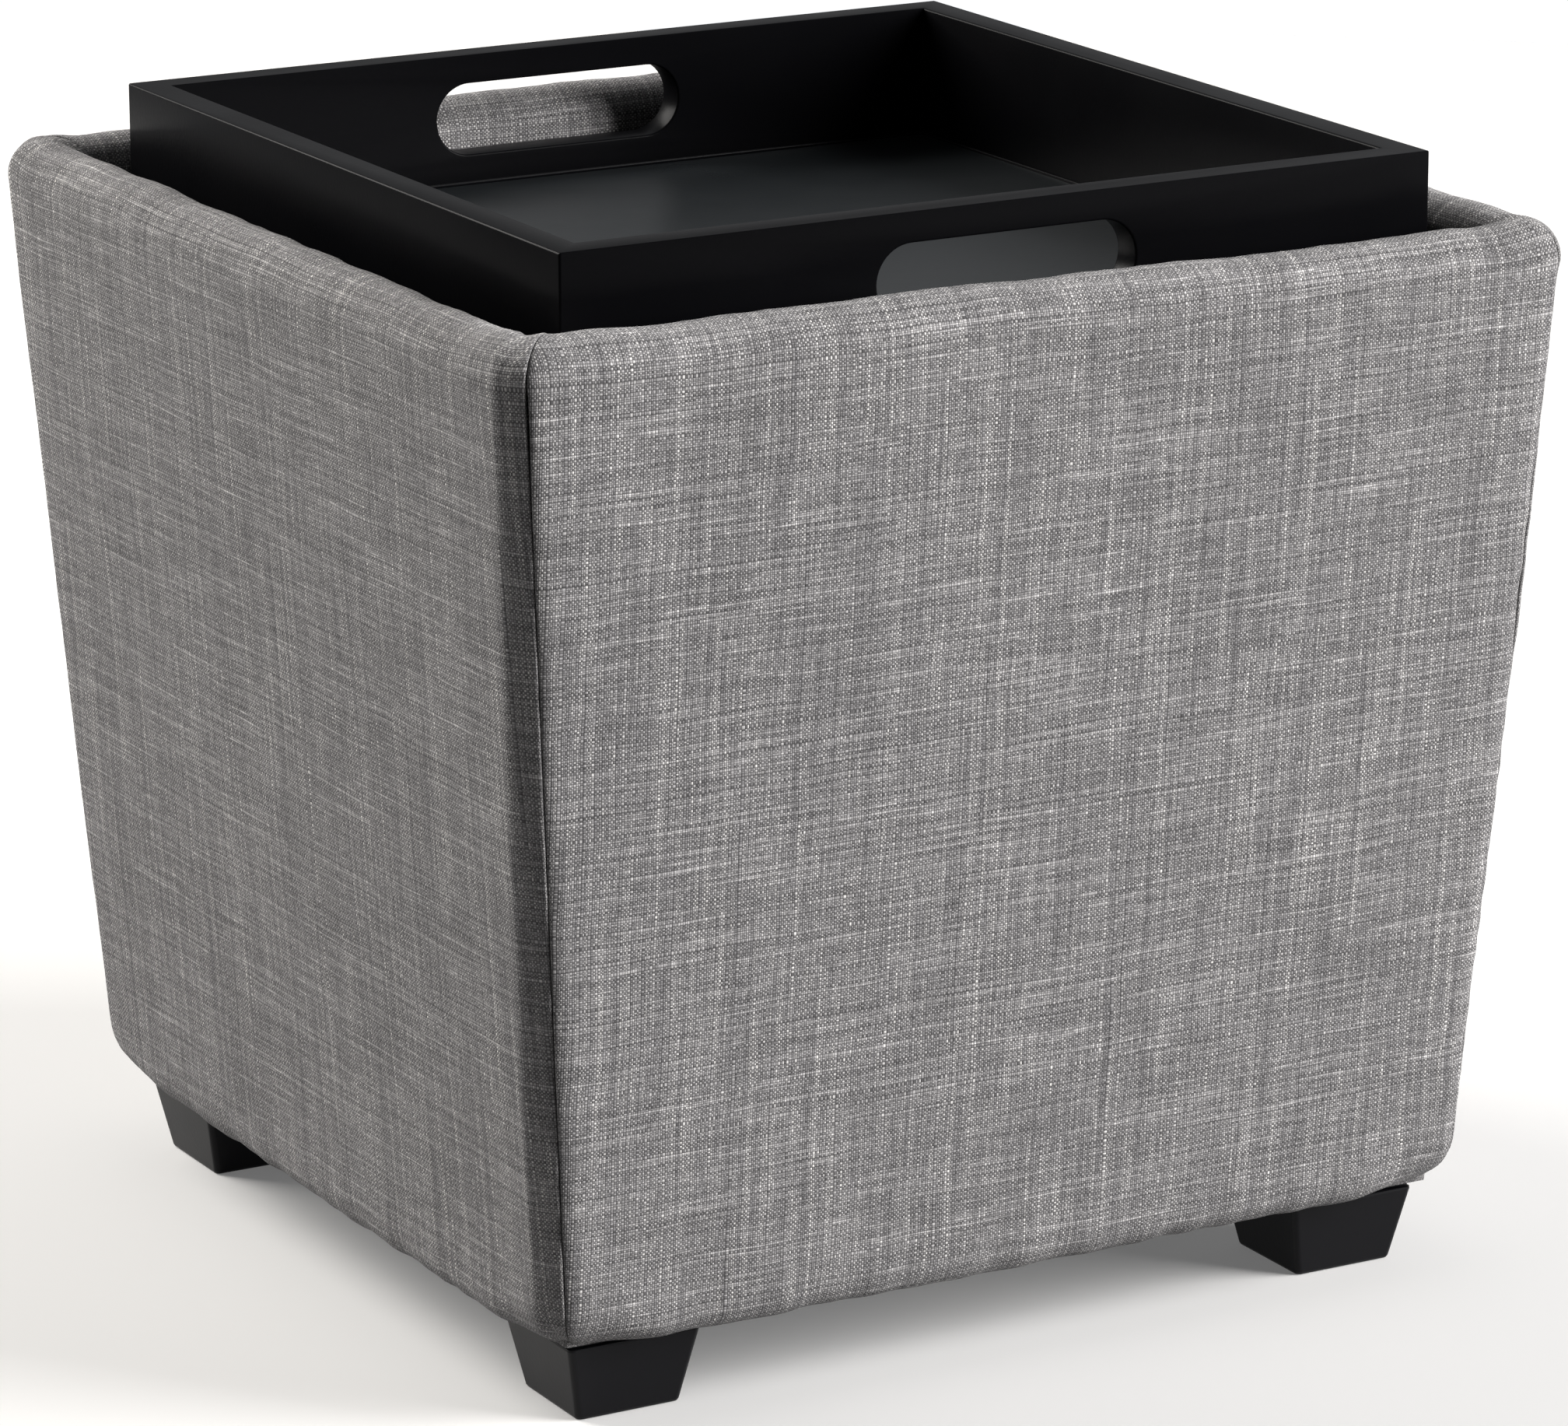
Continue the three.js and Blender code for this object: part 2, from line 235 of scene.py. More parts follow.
def softbox(name, azimuth, height, power, colour, distance, size):
    lamp = bpy.data.lights.new(name, "AREA")
    lamp.shape = "SQUARE"
    lamp.size = size
    lamp.energy = power
    lamp.color = toLinear(colour)[:3]
    around = math.radians(azimuth)
    up = math.radians(height)
    away = Vector((math.sin(around) * math.cos(up), -math.cos(around) * math.cos(up), math.sin(up)))
    box = bpy.data.objects.new(name, lamp)
    bpy.context.scene.collection.objects.link(box)
    turned = away.to_track_quat("Z", "Y").to_matrix().to_4x4()
    box.matrix_world = Matrix.Translation(away * distance + Vector((0, 0, studio["aimHeight"]))) @ turned


for boxName, boxSettings in softboxes.items():
    softbox(boxName, **boxSettings)

# the room: white behind the object, darker towards the camera, so that black paint stays black
room = bpy.data.worlds.new("paleRoom")
bpy.context.scene.world = room
room.use_nodes = True
roomTree = room.node_tree
background = roomTree.nodes["Background"]
direction = addNode(roomTree, "ShaderNodeTexCoord")
roomParts = addNode(roomTree, "ShaderNodeSeparateXYZ", {0: direction.outputs["Generated"]})
behind = addNode(roomTree, "ShaderNodeMapRange",
                 {"Value": roomParts.outputs[1], "From Min": -0.5, "From Max": 0.8,
                  "To Min": studio["roomFront"], "To Max": studio["roomBack"]})
seen = addNode(roomTree, "ShaderNodeLightPath")
roomStrength = addNode(roomTree, "ShaderNodeMix",
                       {"Factor": seen.outputs["Is Camera Ray"], "A": behind, "B": studio["roomSeen"]})
roomTree.links.new(roomStrength.outputs[0], background.inputs["Strength"])
background.inputs["Color"].default_value = studio["roomColour"]

floorMaterial, floorTree, floorSurface = startMaterial("paleFloor", {"Roughness": 0.85})
floorNoise = addNode(floorTree, "ShaderNodeTexNoise",
                     {"Vector": addNode(floorTree, "ShaderNodeTexCoord").outputs["Object"], "Scale": 3.0})
floorColour = addNode(floorTree, "ShaderNodeMix",
                      {"Factor": floorNoise, "A": toLinear(studio["floor"]),
                       "B": toLinear(studio["floorCloud"])}, data_type="RGBA")
floorLight = addNode(floorTree, "ShaderNodeLightPath")
floorSeen = addNode(floorTree, "ShaderNodeMix",
                    {"Factor": floorLight.outputs["Is Diffuse Ray"], "A": floorColour.outputs["Result"],
                     "B": toLinear(studio["floorBounce"])}, data_type="RGBA")
endMaterial(floorTree, floorSurface, floorSeen.outputs["Result"])
floorSurface.inputs["Emission Color"].default_value = (1, 1, 1, 1)
floorSurface.inputs["Emission Strength"].default_value = studio["floorGlow"]
reach = studio["floorRadius"]
floorRing = [(reach * math.cos(a), reach * math.sin(a), 0) for a in np.linspace(0, 2 * math.pi, 97)[:-1]]
floor = meshPiece("paleFloor", floorRing, [list(range(96))], floorMaterial)
print("camera, lights and floor ready")


# materials

linen = {
    "warp": {
        "spacing": 0.9,  # mm from thread to thread, a fifth coarser than real so that single threads show
        "yarn": "#b7b5b6",
        "slub": "#fdfaf5",
        "slubLength": 21.0,  # mm
        "slubRange": (0.68, 1.32),  # where plain yarn ends and knotty yarn begins
        "slubRarity": 2.1,
    },
    "weft": {
        "spacing": 0.86,
        "yarn": "#797778",  # darker than the warp
        "slub": "#ebe8e7",
        "slubLength": 17.0,
        "slubRange": (0.72, 1.36),
        "slubRarity": 2.6,
    },
    "wanderSize": 38.0,  # mm over which the threads drift to the side
    "wander": (1.9, 2.3, 0),  # mm
    "unevenSize": 2.3,  # mm over which the spacing changes
    "uneven": 1.0,  # mm
    # streaks a few threads wide, as two directions with their change per mm, slanted a little so that the
    # streaks don't end on one line
    "streaks": {
        "up": ((1 / 2.1, 0.002, 0), (0.29, 1 / 120, 0)),
        "over": ((1 / 60, 0.35, 0), (0.001, 1 / 1.7, 0)),
        "patch": ((1 / 31, 1 / 40, 0), (-1 / 40, 1 / 31, 0)),
    },
    "streakRange": (0.88, 1.42),
    "streakTone": (0.74, 1.28),  # darkest and palest streak, as a share of the yarn's own tone
    "knuckleTone": (0.69, 1.33),  # and the same for single crossings
    "between": "#464445",  # shade between the threads
    "relief": 0.24,  # mm
    "liningPaintedShade": 0.12,  # painted shade inside the box, as a share of the linen's own tone
}


def linenMaterial(name):
    # plain-weave slub linen look: pale knotty warp over darker weft, so it reads as rows of pale dots
    # crossed by long uneven streaks, matt with a faint fuzz at glancing angles
    material, tree, surface = startMaterial(name, {
        "Roughness": 0.92, "Specular IOR Level": 0.25, "Sheen Weight": 0.12, "Sheen Roughness": 0.5})
    place = addNode(tree, "ShaderNodeAttribute", attribute_name="weavePlace").outputs["Vector"]
    # threads wander a little
    drift = addNode(tree, "ShaderNodeTexNoise",
                    {"Vector": place, "Scale": 1 / linen["wanderSize"], "Detail": 1.5})
    centred = addNode(tree, "ShaderNodeVectorMath", {0: drift.outputs["Color"], 1: (0.5, 0.5, 0.5)},
                      operation="SUBTRACT")
    moved = addNode(tree, "ShaderNodeVectorMath", {0: centred, 1: linen["wander"], 2: place},
                    operation="MULTIPLY_ADD")
    parts = addNode(tree, "ShaderNodeSeparateXYZ", {0: moved})
    across, along, pieceNumber = parts.outputs[0], parts.outputs[1], parts.outputs[2]
    # streaks, long up the cloth and shorter across it
    streaks = {}
    for key, (first, second) in linen["streaks"].items():
        run = addNode(tree, "ShaderNodeVectorMath", {0: moved, 1: first}, operation="DOT_PRODUCT")
        rise = addNode(tree, "ShaderNodeVectorMath", {0: moved, 1: second}, operation="DOT_PRODUCT")
        spot = addNode(tree, "ShaderNodeCombineXYZ",
                       {0: run.outputs["Value"], 1: rise.outputs["Value"], 2: pieceNumber})
        streaks[key] = addNode(tree, "ShaderNodeTexNoise",
                               {"Vector": spot, "Scale": 1.0, "Detail": 2.0, "Roughness": 0.55})
    numbers, crowns, colours = {}, {}, {}
    for key, position, other, streak in (("warp", across, along, streaks["up"]),
                                         ("weft", along, across, streaks["over"])):
        thread = linen[key]
        # uneven yarn thickness, as spacing that varies by about a fifth
        uneven = addNode(tree, "ShaderNodeTexNoise",
                         {"W": position, "Scale": 1 / linen["unevenSize"], "Detail": 0.0},
                         noise_dimensions="1D")
        spread = addNode(tree, "ShaderNodeMath", {0: uneven, 1: linen["uneven"], 2: position},
                         operation="MULTIPLY_ADD")
        count = addNode(tree, "ShaderNodeMath", {0: spread, 1: thread["spacing"]}, operation="DIVIDE")
        number = addNode(tree, "ShaderNodeMath", {0: count}, operation="FLOOR")
        share = addNode(tree, "ShaderNodeMath", {0: count}, operation="FRACT")
        swing = addNode(tree, "ShaderNodeMath", {0: share, 1: math.pi}, operation="MULTIPLY")
        crowns[key] = addNode(tree, "ShaderNodeMath", {0: swing}, operation="SINE")
        numbers[key] = number
        # slubs: each thread has its own tone along its length, and starts at its own place in the noise
        start = addNode(tree, "ShaderNodeMath", {0: number, 1: 0.618}, operation="MULTIPLY")
        stretch = addNode(tree, "ShaderNodeMath", {0: other, 1: 1 / thread["slubLength"], 2: start},
                          operation="MULTIPLY_ADD")
        lane = addNode(tree, "ShaderNodeMath", {0: number, 1: 3.71}, operation="MULTIPLY")
        spot = addNode(tree, "ShaderNodeCombineXYZ", {0: stretch, 1: lane, 2: pieceNumber})
        slub = addNode(tree, "ShaderNodeTexNoise",
                       {"Vector": spot, "Scale": 1.0, "Detail": 3.0, "Roughness": 0.62})
        # mostly plain yarn with a few pale knotty stretches
        both = addNode(tree, "ShaderNodeMath", {0: streak, 1: slub}, operation="ADD")
        knotty = addNode(tree, "ShaderNodeMapRange",
                         {"Value": both, "From Min": thread["slubRange"][0],
                          "From Max": thread["slubRange"][1]})
        rare = addNode(tree, "ShaderNodeMath", {0: knotty, 1: thread["slubRarity"]}, operation="POWER")
        mixed = addNode(tree, "ShaderNodeMix",
                        {"Factor": rare, "A": toLinear(thread["yarn"]), "B": toLinear(thread["slub"])},
                        data_type="RGBA")
        colours[key] = mixed.outputs["Result"]
    # which thread is on top: a chequer of crossings
    pair = addNode(tree, "ShaderNodeMath", {0: numbers["warp"], 1: numbers["weft"]}, operation="ADD")
    halfPair = addNode(tree, "ShaderNodeMath", {0: pair, 1: 0.5}, operation="MULTIPLY")
    oddPart = addNode(tree, "ShaderNodeMath", {0: halfPair}, operation="FRACT")
    warpOnTop = addNode(tree, "ShaderNodeMath", {0: oddPart, 1: 0.25}, operation="GREATER_THAN")
    yarn = addNode(tree, "ShaderNodeMix", {"Factor": warpOnTop, "A": colours["weft"], "B": colours["warp"]},
                   data_type="RGBA")
    bothCrowns = addNode(tree, "ShaderNodeMath", {0: crowns["warp"], 1: crowns["weft"]},
                         operation="MULTIPLY")
    rounded = addNode(tree, "ShaderNodeMath", {0: bothCrowns, 1: 0.5}, operation="POWER")
    shaded = addNode(tree, "ShaderNodeMix",
                     {"Factor": rounded, "A": toLinear(linen["between"]), "B": yarn.outputs["Result"]},
                     data_type="RGBA")
    # the streaks' own shade
    upAndOver = addNode(tree, "ShaderNodeMath", {0: streaks["up"], 1: streaks["over"]}, operation="ADD")
    allStreaks = addNode(tree, "ShaderNodeMath", {0: streaks["patch"], 1: 0.3, 2: upAndOver},
                         operation="MULTIPLY_ADD")
    streakShade = addNode(tree, "ShaderNodeMapRange",
                          {"Value": allStreaks, "From Min": linen["streakRange"][0],
                           "From Max": linen["streakRange"][1], "To Min": linen["streakTone"][0],
                           "To Max": linen["streakTone"][1]})
    # every knuckle of yarn catches the light its own way
    crossing = addNode(tree, "ShaderNodeCombineXYZ",
                       {0: numbers["warp"], 1: numbers["weft"], 2: pieceNumber})
    speckle = addNode(tree, "ShaderNodeTexWhiteNoise", {"Vector": crossing})
    knuckle = addNode(tree, "ShaderNodeMapRange",
                      {"Value": speckle.outputs["Value"], "To Min": linen["knuckleTone"][0],
                       "To Max": linen["knuckleTone"][1]})
    speckled = addNode(tree, "ShaderNodeMath", {0: streakShade, 1: knuckle}, operation="MULTIPLY")
    # painted shade: inside the box the linen darkens where the piece's facing attribute says so, standing
    # for the shadow there
    facing = addNode(tree, "ShaderNodeAttribute", attribute_name="facing")
    inside = addNode(tree, "ShaderNodeMapRange",
                     {"Value": facing.outputs["Fac"], "To Min": 1.0, "To Max": linen["liningPaintedShade"]})
    allShades = addNode(tree, "ShaderNodeMath", {0: speckled, 1: inside}, operation="MULTIPLY")
    toned = addNode(tree, "ShaderNodeVectorMath",
                    {0: shaded.outputs["Result"], "Scale": allShades}, operation="SCALE")
    endMaterial(tree, surface, toned.outputs[0], height=rounded.outputs[0],
                relief=linen["relief"] * mm, strength=0.8)
    return material


paint = {
    "peel": 1.6,  # mm across one dimple of the sprayed surface
    "cloud": 71.4,  # mm across a cloud of slightly different tone and shine
    "relief": 0.03,  # mm
}


def paintMaterial(name, base, worn, roughness, level):
    # sprayed satin lacquer on fibreboard: near black, soft reflections broken up by a fine orange peel
    material, tree, surface = startMaterial(name, {"Specular IOR Level": level})
    where = addNode(tree, "ShaderNodeTexCoord").outputs["Object"]
    peel = addNode(tree, "ShaderNodeTexNoise",
                   {"Vector": where, "Scale": 1 / (paint["peel"] * mm), "Detail": 2.0})
    cloud = addNode(tree, "ShaderNodeTexNoise",
                    {"Vector": where, "Scale": 1 / (paint["cloud"] * mm), "Detail": 4.0})
    tone = addNode(tree, "ShaderNodeMix",
                   {"Factor": cloud, "A": toLinear(base), "B": toLinear(worn)}, data_type="RGBA")
    rough = addNode(tree, "ShaderNodeMapRange",
                    {"Value": cloud, "From Min": 0.3, "From Max": 0.7, "To Min": roughness - 0.03,
                     "To Max": roughness + 0.04})
    endMaterial(tree, surface, tone.outputs["Result"], rough.outputs[0], peel.outputs[0],
                paint["relief"] * mm, 1.0)
    return material


def woodMaterial(name, stretch, pale, dark, roughness):
    # birch plywood: long pale grain with darker hairlines, dry and unvarnished
    material, tree, surface = startMaterial(name, {"Specular IOR Level": 0.3})
    where = addNode(tree, "ShaderNodeTexCoord").outputs["Object"]
    run = addNode(tree, "ShaderNodeMapping", {"Vector": where, "Scale": stretch})
    grain = addNode(tree, "ShaderNodeTexNoise",
                    {"Vector": run, "Scale": 1.0, "Detail": 6.0, "Roughness": 0.6, "Distortion": 0.4})
    ramp = addNode(tree, "ShaderNodeMapRange", {"Value": grain, "From Min": 0.32, "From Max": 0.68})
    tone = addNode(tree, "ShaderNodeMix", {"Factor": ramp, "A": toLinear(dark), "B": toLinear(pale)},
                   data_type="RGBA")
    rough = addNode(tree, "ShaderNodeMapRange",
                    {"Value": grain, "To Min": roughness - 0.08, "To Max": roughness + 0.08})
    endMaterial(tree, surface, tone.outputs["Result"], rough.outputs[0], grain.outputs[0], 0.1 * mm, 0.6)
    return material


def fibreMaterial(name, pale, dark, size, roughness, relief, sheen):
    # pressed or tangled fibres: speckles of two tones with a dry, slightly fuzzy surface
    material, tree, surface = startMaterial(name, {
        "Roughness": roughness, "Specular IOR Level": 0.2, "Sheen Weight": sheen, "Sheen Roughness": 0.6})
    where = addNode(tree, "ShaderNodeTexCoord").outputs["Object"]
    flecks = addNode(tree, "ShaderNodeTexNoise",
                     {"Vector": where, "Scale": 1 / (size * mm), "Detail": 5.0, "Roughness": 0.7,
                      "Distortion": 1.2})
    clouds = addNode(tree, "ShaderNodeTexNoise", {"Vector": where, "Scale": 22.0, "Detail": 3.0})
    both = addNode(tree, "ShaderNodeMath", {0: clouds, 1: 0.35, 2: flecks}, operation="MULTIPLY_ADD")
    ramp = addNode(tree, "ShaderNodeMapRange", {"Value": both, "From Min": 0.5, "From Max": 0.85})
    tone = addNode(tree, "ShaderNodeMix", {"Factor": ramp, "A": toLinear(dark), "B": toLinear(pale)},
                   data_type="RGBA")
    endMaterial(tree, surface, tone.outputs["Result"], height=flecks.outputs[0], relief=relief * mm,
                strength=0.8)
    return material


def nonwovenMaterial(name):
    # spunbonded polypropylene: charcoal sheet pressed with a fine grid of bond points, faint shine
    material, tree, surface = startMaterial(name, {"Roughness": 0.7, "Specular IOR Level": 0.35})
    where = addNode(tree, "ShaderNodeTexCoord").outputs["Object"]
    turned = addNode(tree, "ShaderNodeMapping",
                     {"Vector": where, "Rotation": (0, 0, math.radians(45)), "Scale": (500, 500, 0)})
    bonds = addNode(tree, "ShaderNodeTexVoronoi", {"Vector": turned, "Scale": 1.0, "Randomness": 0.15},
                    voronoi_dimensions="2D")
    fibres = addNode(tree, "ShaderNodeTexNoise",
                     {"Vector": where, "Scale": 900.0, "Detail": 4.0, "Distortion": 2.0})
    dots = addNode(tree, "ShaderNodeMapRange",
                   {"Value": bonds.outputs["Distance"], "From Min": 0.1, "From Max": 0.35})
    both = addNode(tree, "ShaderNodeMath", {0: fibres, 1: 0.5, 2: dots}, operation="MULTIPLY_ADD")
    ramp = addNode(tree, "ShaderNodeMapRange", {"Value": both, "From Min": 0.2, "From Max": 1.4})
    tone = addNode(tree, "ShaderNodeMix",
                   {"Factor": ramp, "A": toLinear("#121214"), "B": toLinear("#2e2e31")}, data_type="RGBA")
    endMaterial(tree, surface, tone.outputs["Result"], height=dots.outputs[0], relief=0.15 * mm,
                strength=0.7)
    return material


def steelMaterial(name, pale, dark, roughness):
    # zinc-plated steel: pale grey metal with a mottled, slightly milky shine
    material, tree, surface = startMaterial(name, {"Metallic": 1.0})
    where = addNode(tree, "ShaderNodeTexCoord").outputs["Object"]
    spangle = addNode(tree, "ShaderNodeTexNoise", {"Vector": where, "Scale": 420.0, "Detail": 3.0})
    tone = addNode(tree, "ShaderNodeMix",
                   {"Factor": spangle, "A": toLinear(dark), "B": toLinear(pale)}, data_type="RGBA")
    rough = addNode(tree, "ShaderNodeMapRange",
                    {"Value": spangle, "To Min": roughness - 0.08, "To Max": roughness + 0.12})
    endMaterial(tree, surface, tone.outputs["Result"], rough.outputs[0], spangle.outputs[0], 0.02 * mm, 0.5)
    return material


linenCover = linenMaterial("greySlubLinen")
trayPaint = paintMaterial("satinBlackTrayPaint", "#09090b", "#0e0e10", 0.30, 0.036)
# the tray floor is the same black satin paint as the walls, given a paler, bluish base colour: painted sheen
# standing for the light it catches
trayFloorPaintedSheen = paintMaterial("satinBlackTrayFloorPaint", "#212426", "#2a2d2f", 0.3, 0.28)
footPaint = paintMaterial("satinBlackFootPaint", "#0f0f12", "#151518", 0.36, 0.12)
plyAcross = woodMaterial("birchPlywoodGrainX", (12, 260, 400), "#d8bd92", "#b08c5c", 0.68)
plyAlong = woodMaterial("birchPlywoodGrainY", (260, 12, 400), "#d8bd92", "#b08c5c", 0.68)
fibreboard = fibreMaterial("rawFibreboard", "#bda178", "#8f744f", 1.1, 0.85, 0.06, 0.0)
felt = fibreMaterial("blackNeedleFelt", "#2c2c2e", "#141416", 0.9, 0.95, 0.35, 0.15)
nonwoven = nonwovenMaterial("charcoalNonwoven")
zinc = steelMaterial("zincPlatedSteel", "#d9dcde", "#a9adb0", 0.36)
stapleSteel = steelMaterial("galvanisedWire", "#c7cacc", "#94989b", 0.42)
threadGrey = fibreMaterial("greySewingThread", "#b8b5b0", "#8b8884", 0.25, 0.8, 0.05, 0.1)
print("materials made")


# upholstered walls

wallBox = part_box("front_cover")
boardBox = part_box("front_side_board")
wall = {
    "half": -wallBox[0].y / mm,  # middle of the box to the outside of the rim
    "top": wallBox[1].z / mm,
    "bottom": wallBox[0].z / mm,
    "lean": 0.067,  # walls move in by this much per mm down
    "rollRadius": 14.2,  # rim roll
    "liningLow": 65.8,  # where the lining stops above the floor of the box
    "thick": 1.5,
    "outerCorner": 14.0,
    "innerCorner": 4.0,
    "rimCorner": 8.0,  # the rim's padding fills its inner corners
    "frontLift": (1.3, -0.6),  # how much fuller the rim stands along the front, left and right
    "cornerLift": 0.7,  # and at the front left corner
    "frontEdge": (165, 212),  # mm towards the front where the lift fades in
    "leftFade": (-150, 60),  # mm towards the left where one lift passes into the other
    "leftCorner": (140, 205),
    "liftDepth": (34, 6),  # mm below the top where a lift starts and is whole
    "shoulder": 2.4,  # the rim's outer edge stands up at the corners
    "shoulderFrom": (190, 215),
    "shoulderDepth": (22, 6),
    "frontLeftShoulder": 0.4,  # lower at that corner
    "paintedShadeEdge": (7.5, 24.0),  # how far below the rim the painted shade inside starts, sides and front
    "bottomRoll": 12.5,
    "cornerRoll": 22.0,  # bigger round at the bottom corners
    "underTurn": 25.0,
    "seamTan": 0.975,
    "grid": 4.0,  # mm between points along a row
    "rows": {"lining": 62, "rim": 27, "face": 92, "hem": 9, "under": 4},
    "crown": 1.1,  # foam pushes the faces out by this much
    "crownFrom": 36.0,  # height where the crown starts, and how far up it goes
    "crownReach": 366.0,
    "lumps": 0.55,
    "lumpSize": (95, 80),  # mm along the row and up the cloth
    "rimPucker": 0.55,
    "rimReach": 30.0,  # puckers die out over this distance
    "rimWave": (21, 34),
    "rimFineWave": (8, 22),
    "hemPucker": 0.65,
    "hemReach": 22.0,
    "hemWave": (13, 60),
    "seamPucker": 0.45,
    "seamReach": 9.0,
    "seamWave": (11, 30),  # mm along the seam and away from it
    "seamPull": 0.35,  # the thread pulls the cloth in along the seam
    "cornerFlat": 1.3,
    "gape": (0.22, 0.55, 1.0),  # how open the seam is over the rim, low on the face and high on it
    "gapeHeights": (330, 385),
    "edgeOpen": 0.35,  # the turned edge stands open a little below the rim
    "edgeOpenAt": 392.0,
    "edgeOpenReach": 16.0,
}
rollZ = wall["top"] - wall["rollRadius"]
rollHalf = wall["half"] - wall["rollRadius"]
rimAlong = (rollZ - 2 - wall["liningLow"]) + wall["rollRadius"] * math.pi * 0.55  # up the cloth to the rim
hemHalf = wall["half"] - (rollZ - wall["bottom"]) * wall["lean"]
boardOut = -boardBox[0].y / mm + 0.3  # a hair clear of the board
boardTop = boardBox[1].z / mm + 0.3
# the seam's turned edges: distance from the seam, depth below the face
seamEdge = [(1.6, 0.0), (1.1, 0.08), (0.72, 0.25), (0.45, 0.55), (0.26, 1.1), (0.14, 1.9), (0.08, 3.0),
            (0.06, 4.4)]


def leanAt(z):
    return (rollZ - z) * wall["lean"]


def profileRows():
    # the cover's rows, from the lining's lower edge over the rim and down to the turn under the box:
    # out distance, height, corner radius, normal, and a name for the zone
    rows = []
    counts = wall["rows"]
    inner = rollHalf - wall["rollRadius"]
    tilt = math.atan(wall["lean"])
    for z in np.linspace(wall["liningLow"], rollZ - 2, counts["lining"]):
        fuller = smoothStep(z, 390, rollZ - 2)
        radius = wall["innerCorner"] + fuller * (wall["rimCorner"] - wall["innerCorner"])
        rows.append((inner - leanAt(z), z, radius, (-1, tilt), "lining"))
    for a in np.linspace(math.pi - tilt, -tilt, counts["rim"]):
        out = rollHalf + wall["rollRadius"] * math.cos(a)
        share = (out - inner) / (2 * wall["rollRadius"])
        radius = wall["rimCorner"] + share * (wall["outerCorner"] - wall["rimCorner"])
        rows.append((out, rollZ + wall["rollRadius"] * math.sin(a), radius,
                     (math.cos(a), math.sin(a)), "rim"))
    r = wall["bottomRoll"]
    lowest = wall["bottom"] + r
    for z in np.linspace(rollZ - 3.5, lowest, counts["face"]):
        rows.append((wall["half"] - leanAt(z), z, wall["outerCorner"], (1, -tilt), "face"))
    lowCentre = wall["half"] - leanAt(lowest) - r
    for a in np.linspace(0, -math.pi / 2, counts["hem"] + 1)[1:]:
        rows.append((lowCentre + r * math.cos(a), lowest + r * math.sin(a), wall["outerCorner"],
                     (math.cos(a), math.sin(a)), "hem"))
    for out in np.linspace(lowCentre, hemHalf - wall["underTurn"], counts["under"] + 1)[1:]:
        rows.append((out, wall["bottom"], wall["outerCorner"] - 4, (0, -1), "under"))
    return rows


def outlineAt(half, radius, s):
    # a rounded square walked from the middle of one side: point and outward normal, side's own frame
    straight = half - radius
    arc = radius * math.pi / 2
    a = np.abs(s)
    turnBy = np.clip((a - straight) / radius, 0, math.pi / 2)
    past = np.clip(a - straight - arc, 0, None)
    x = np.minimum(a, straight) + radius * np.sin(turnBy)
    y = straight + radius * np.cos(turnBy) - past
    sign = np.where(s < 0, -1, 1)
    return x * sign, y, np.sin(turnBy) * sign, np.cos(turnBy)


def seamDistance(half, radius, longer):
    # how far from the middle of its side, along the outline, a cover ends
    straight = half - radius
    if wall["seamTan"] * half <= straight:
        short = wall["seamTan"] * half
    else:
        low, high = 0.0, math.pi / 2
        for _ in range(40):
            mid = (low + high) / 2
            ratio = (straight + radius * math.sin(mid)) / (straight + radius * math.cos(mid))
            low, high = (mid, high) if ratio < wall["seamTan"] else (low, mid)
        short = straight + radius * low
    return 2 * straight + radius * math.pi / 2 - short if longer else short


def coverColumns(half, radius, longer, interior, arcCount):
    # distances along the outline for every column, and how deep each lies in the seam
    reach = seamDistance(half, radius, longer)
    straight = min(half - radius, reach - 3.6)
    middle = np.linspace(-1, 1, interior) * straight
    arc = straight + (reach - seamEdge[0][0] - straight) * np.arange(1, arcCount + 1) / arcCount
    edge = np.array([reach - t for t, _ in seamEdge[1:]])
    right = np.concatenate([arc, edge])
    depth = np.concatenate([np.zeros(arcCount), [d for _, d in seamEdge[1:]]])
    s = np.concatenate([-right[::-1], middle, right])
    d = np.concatenate([depth[::-1], np.zeros(interior), depth])
    return s, d, reach


def paddingPush(side, zone, s, v, half, radius, z, reach):
    # how far the padding stands out along one row: crown, lumps, and puckers at rim, hem and seams
    faceShare = {"lining": 0.0, "rim": 0.5, "face": 1.0, "hem": 0.6, "under": 0.0}[zone]
    long, high = wall["lumpSize"]
    push = wall["lumps"] * faceShare * smoothNoise(s / long, v / high, side + 1)
    if zone == "face":
        window = np.sin(math.pi * np.clip((z - wall["crownFrom"]) / wall["crownReach"], 0, 1)) ** 0.6
        push += wall["crown"] * window * (1 - np.abs(s / (half + 8)) ** 5)
    rimNear = math.exp(-((v - rimAlong) / wall["rimReach"]) ** 2)
    if rimNear > 0.02:
        long, high = wall["rimWave"]
        wave = smoothNoise(s / long, v / high, side + 11)
        long, high = wall["rimFineWave"]
        fine = smoothNoise(s / long, v / high, side + 21)
        push += rimNear * wall["rimPucker"] * (wave + 0.35 * fine)
    hemNear = math.exp(-max(0.0, z - wall["bottom"] - 4) / wall["hemReach"])
    if zone in ("face", "hem", "under") and hemNear > 0.02:
        long, high = wall["hemWave"]
        pull = smoothNoise(s / long, v / high, side + 31)
        push += hemNear * wall["hemPucker"] * pull * (0.4 if zone == "under" else 1.0)
    if zone in ("face", "rim", "hem"):
        long, deep = wall["seamWave"]
        seamNear = np.exp(-(reach - np.abs(s)) / wall["seamReach"])
        along = smoothNoise(v / long, s / deep, side + 41)
        push += seamNear * (wall["seamPucker"] * along - wall["seamPull"])
        if side % 2 == 1:  # the cloth is pulled flat round the corner
            arcShare = np.clip((np.abs(s) - (half - radius)) / (reach - (half - radius)), 0, 1)
            push -= wall["cornerFlat"] * np.sin(math.pi * arcShare)
    return push


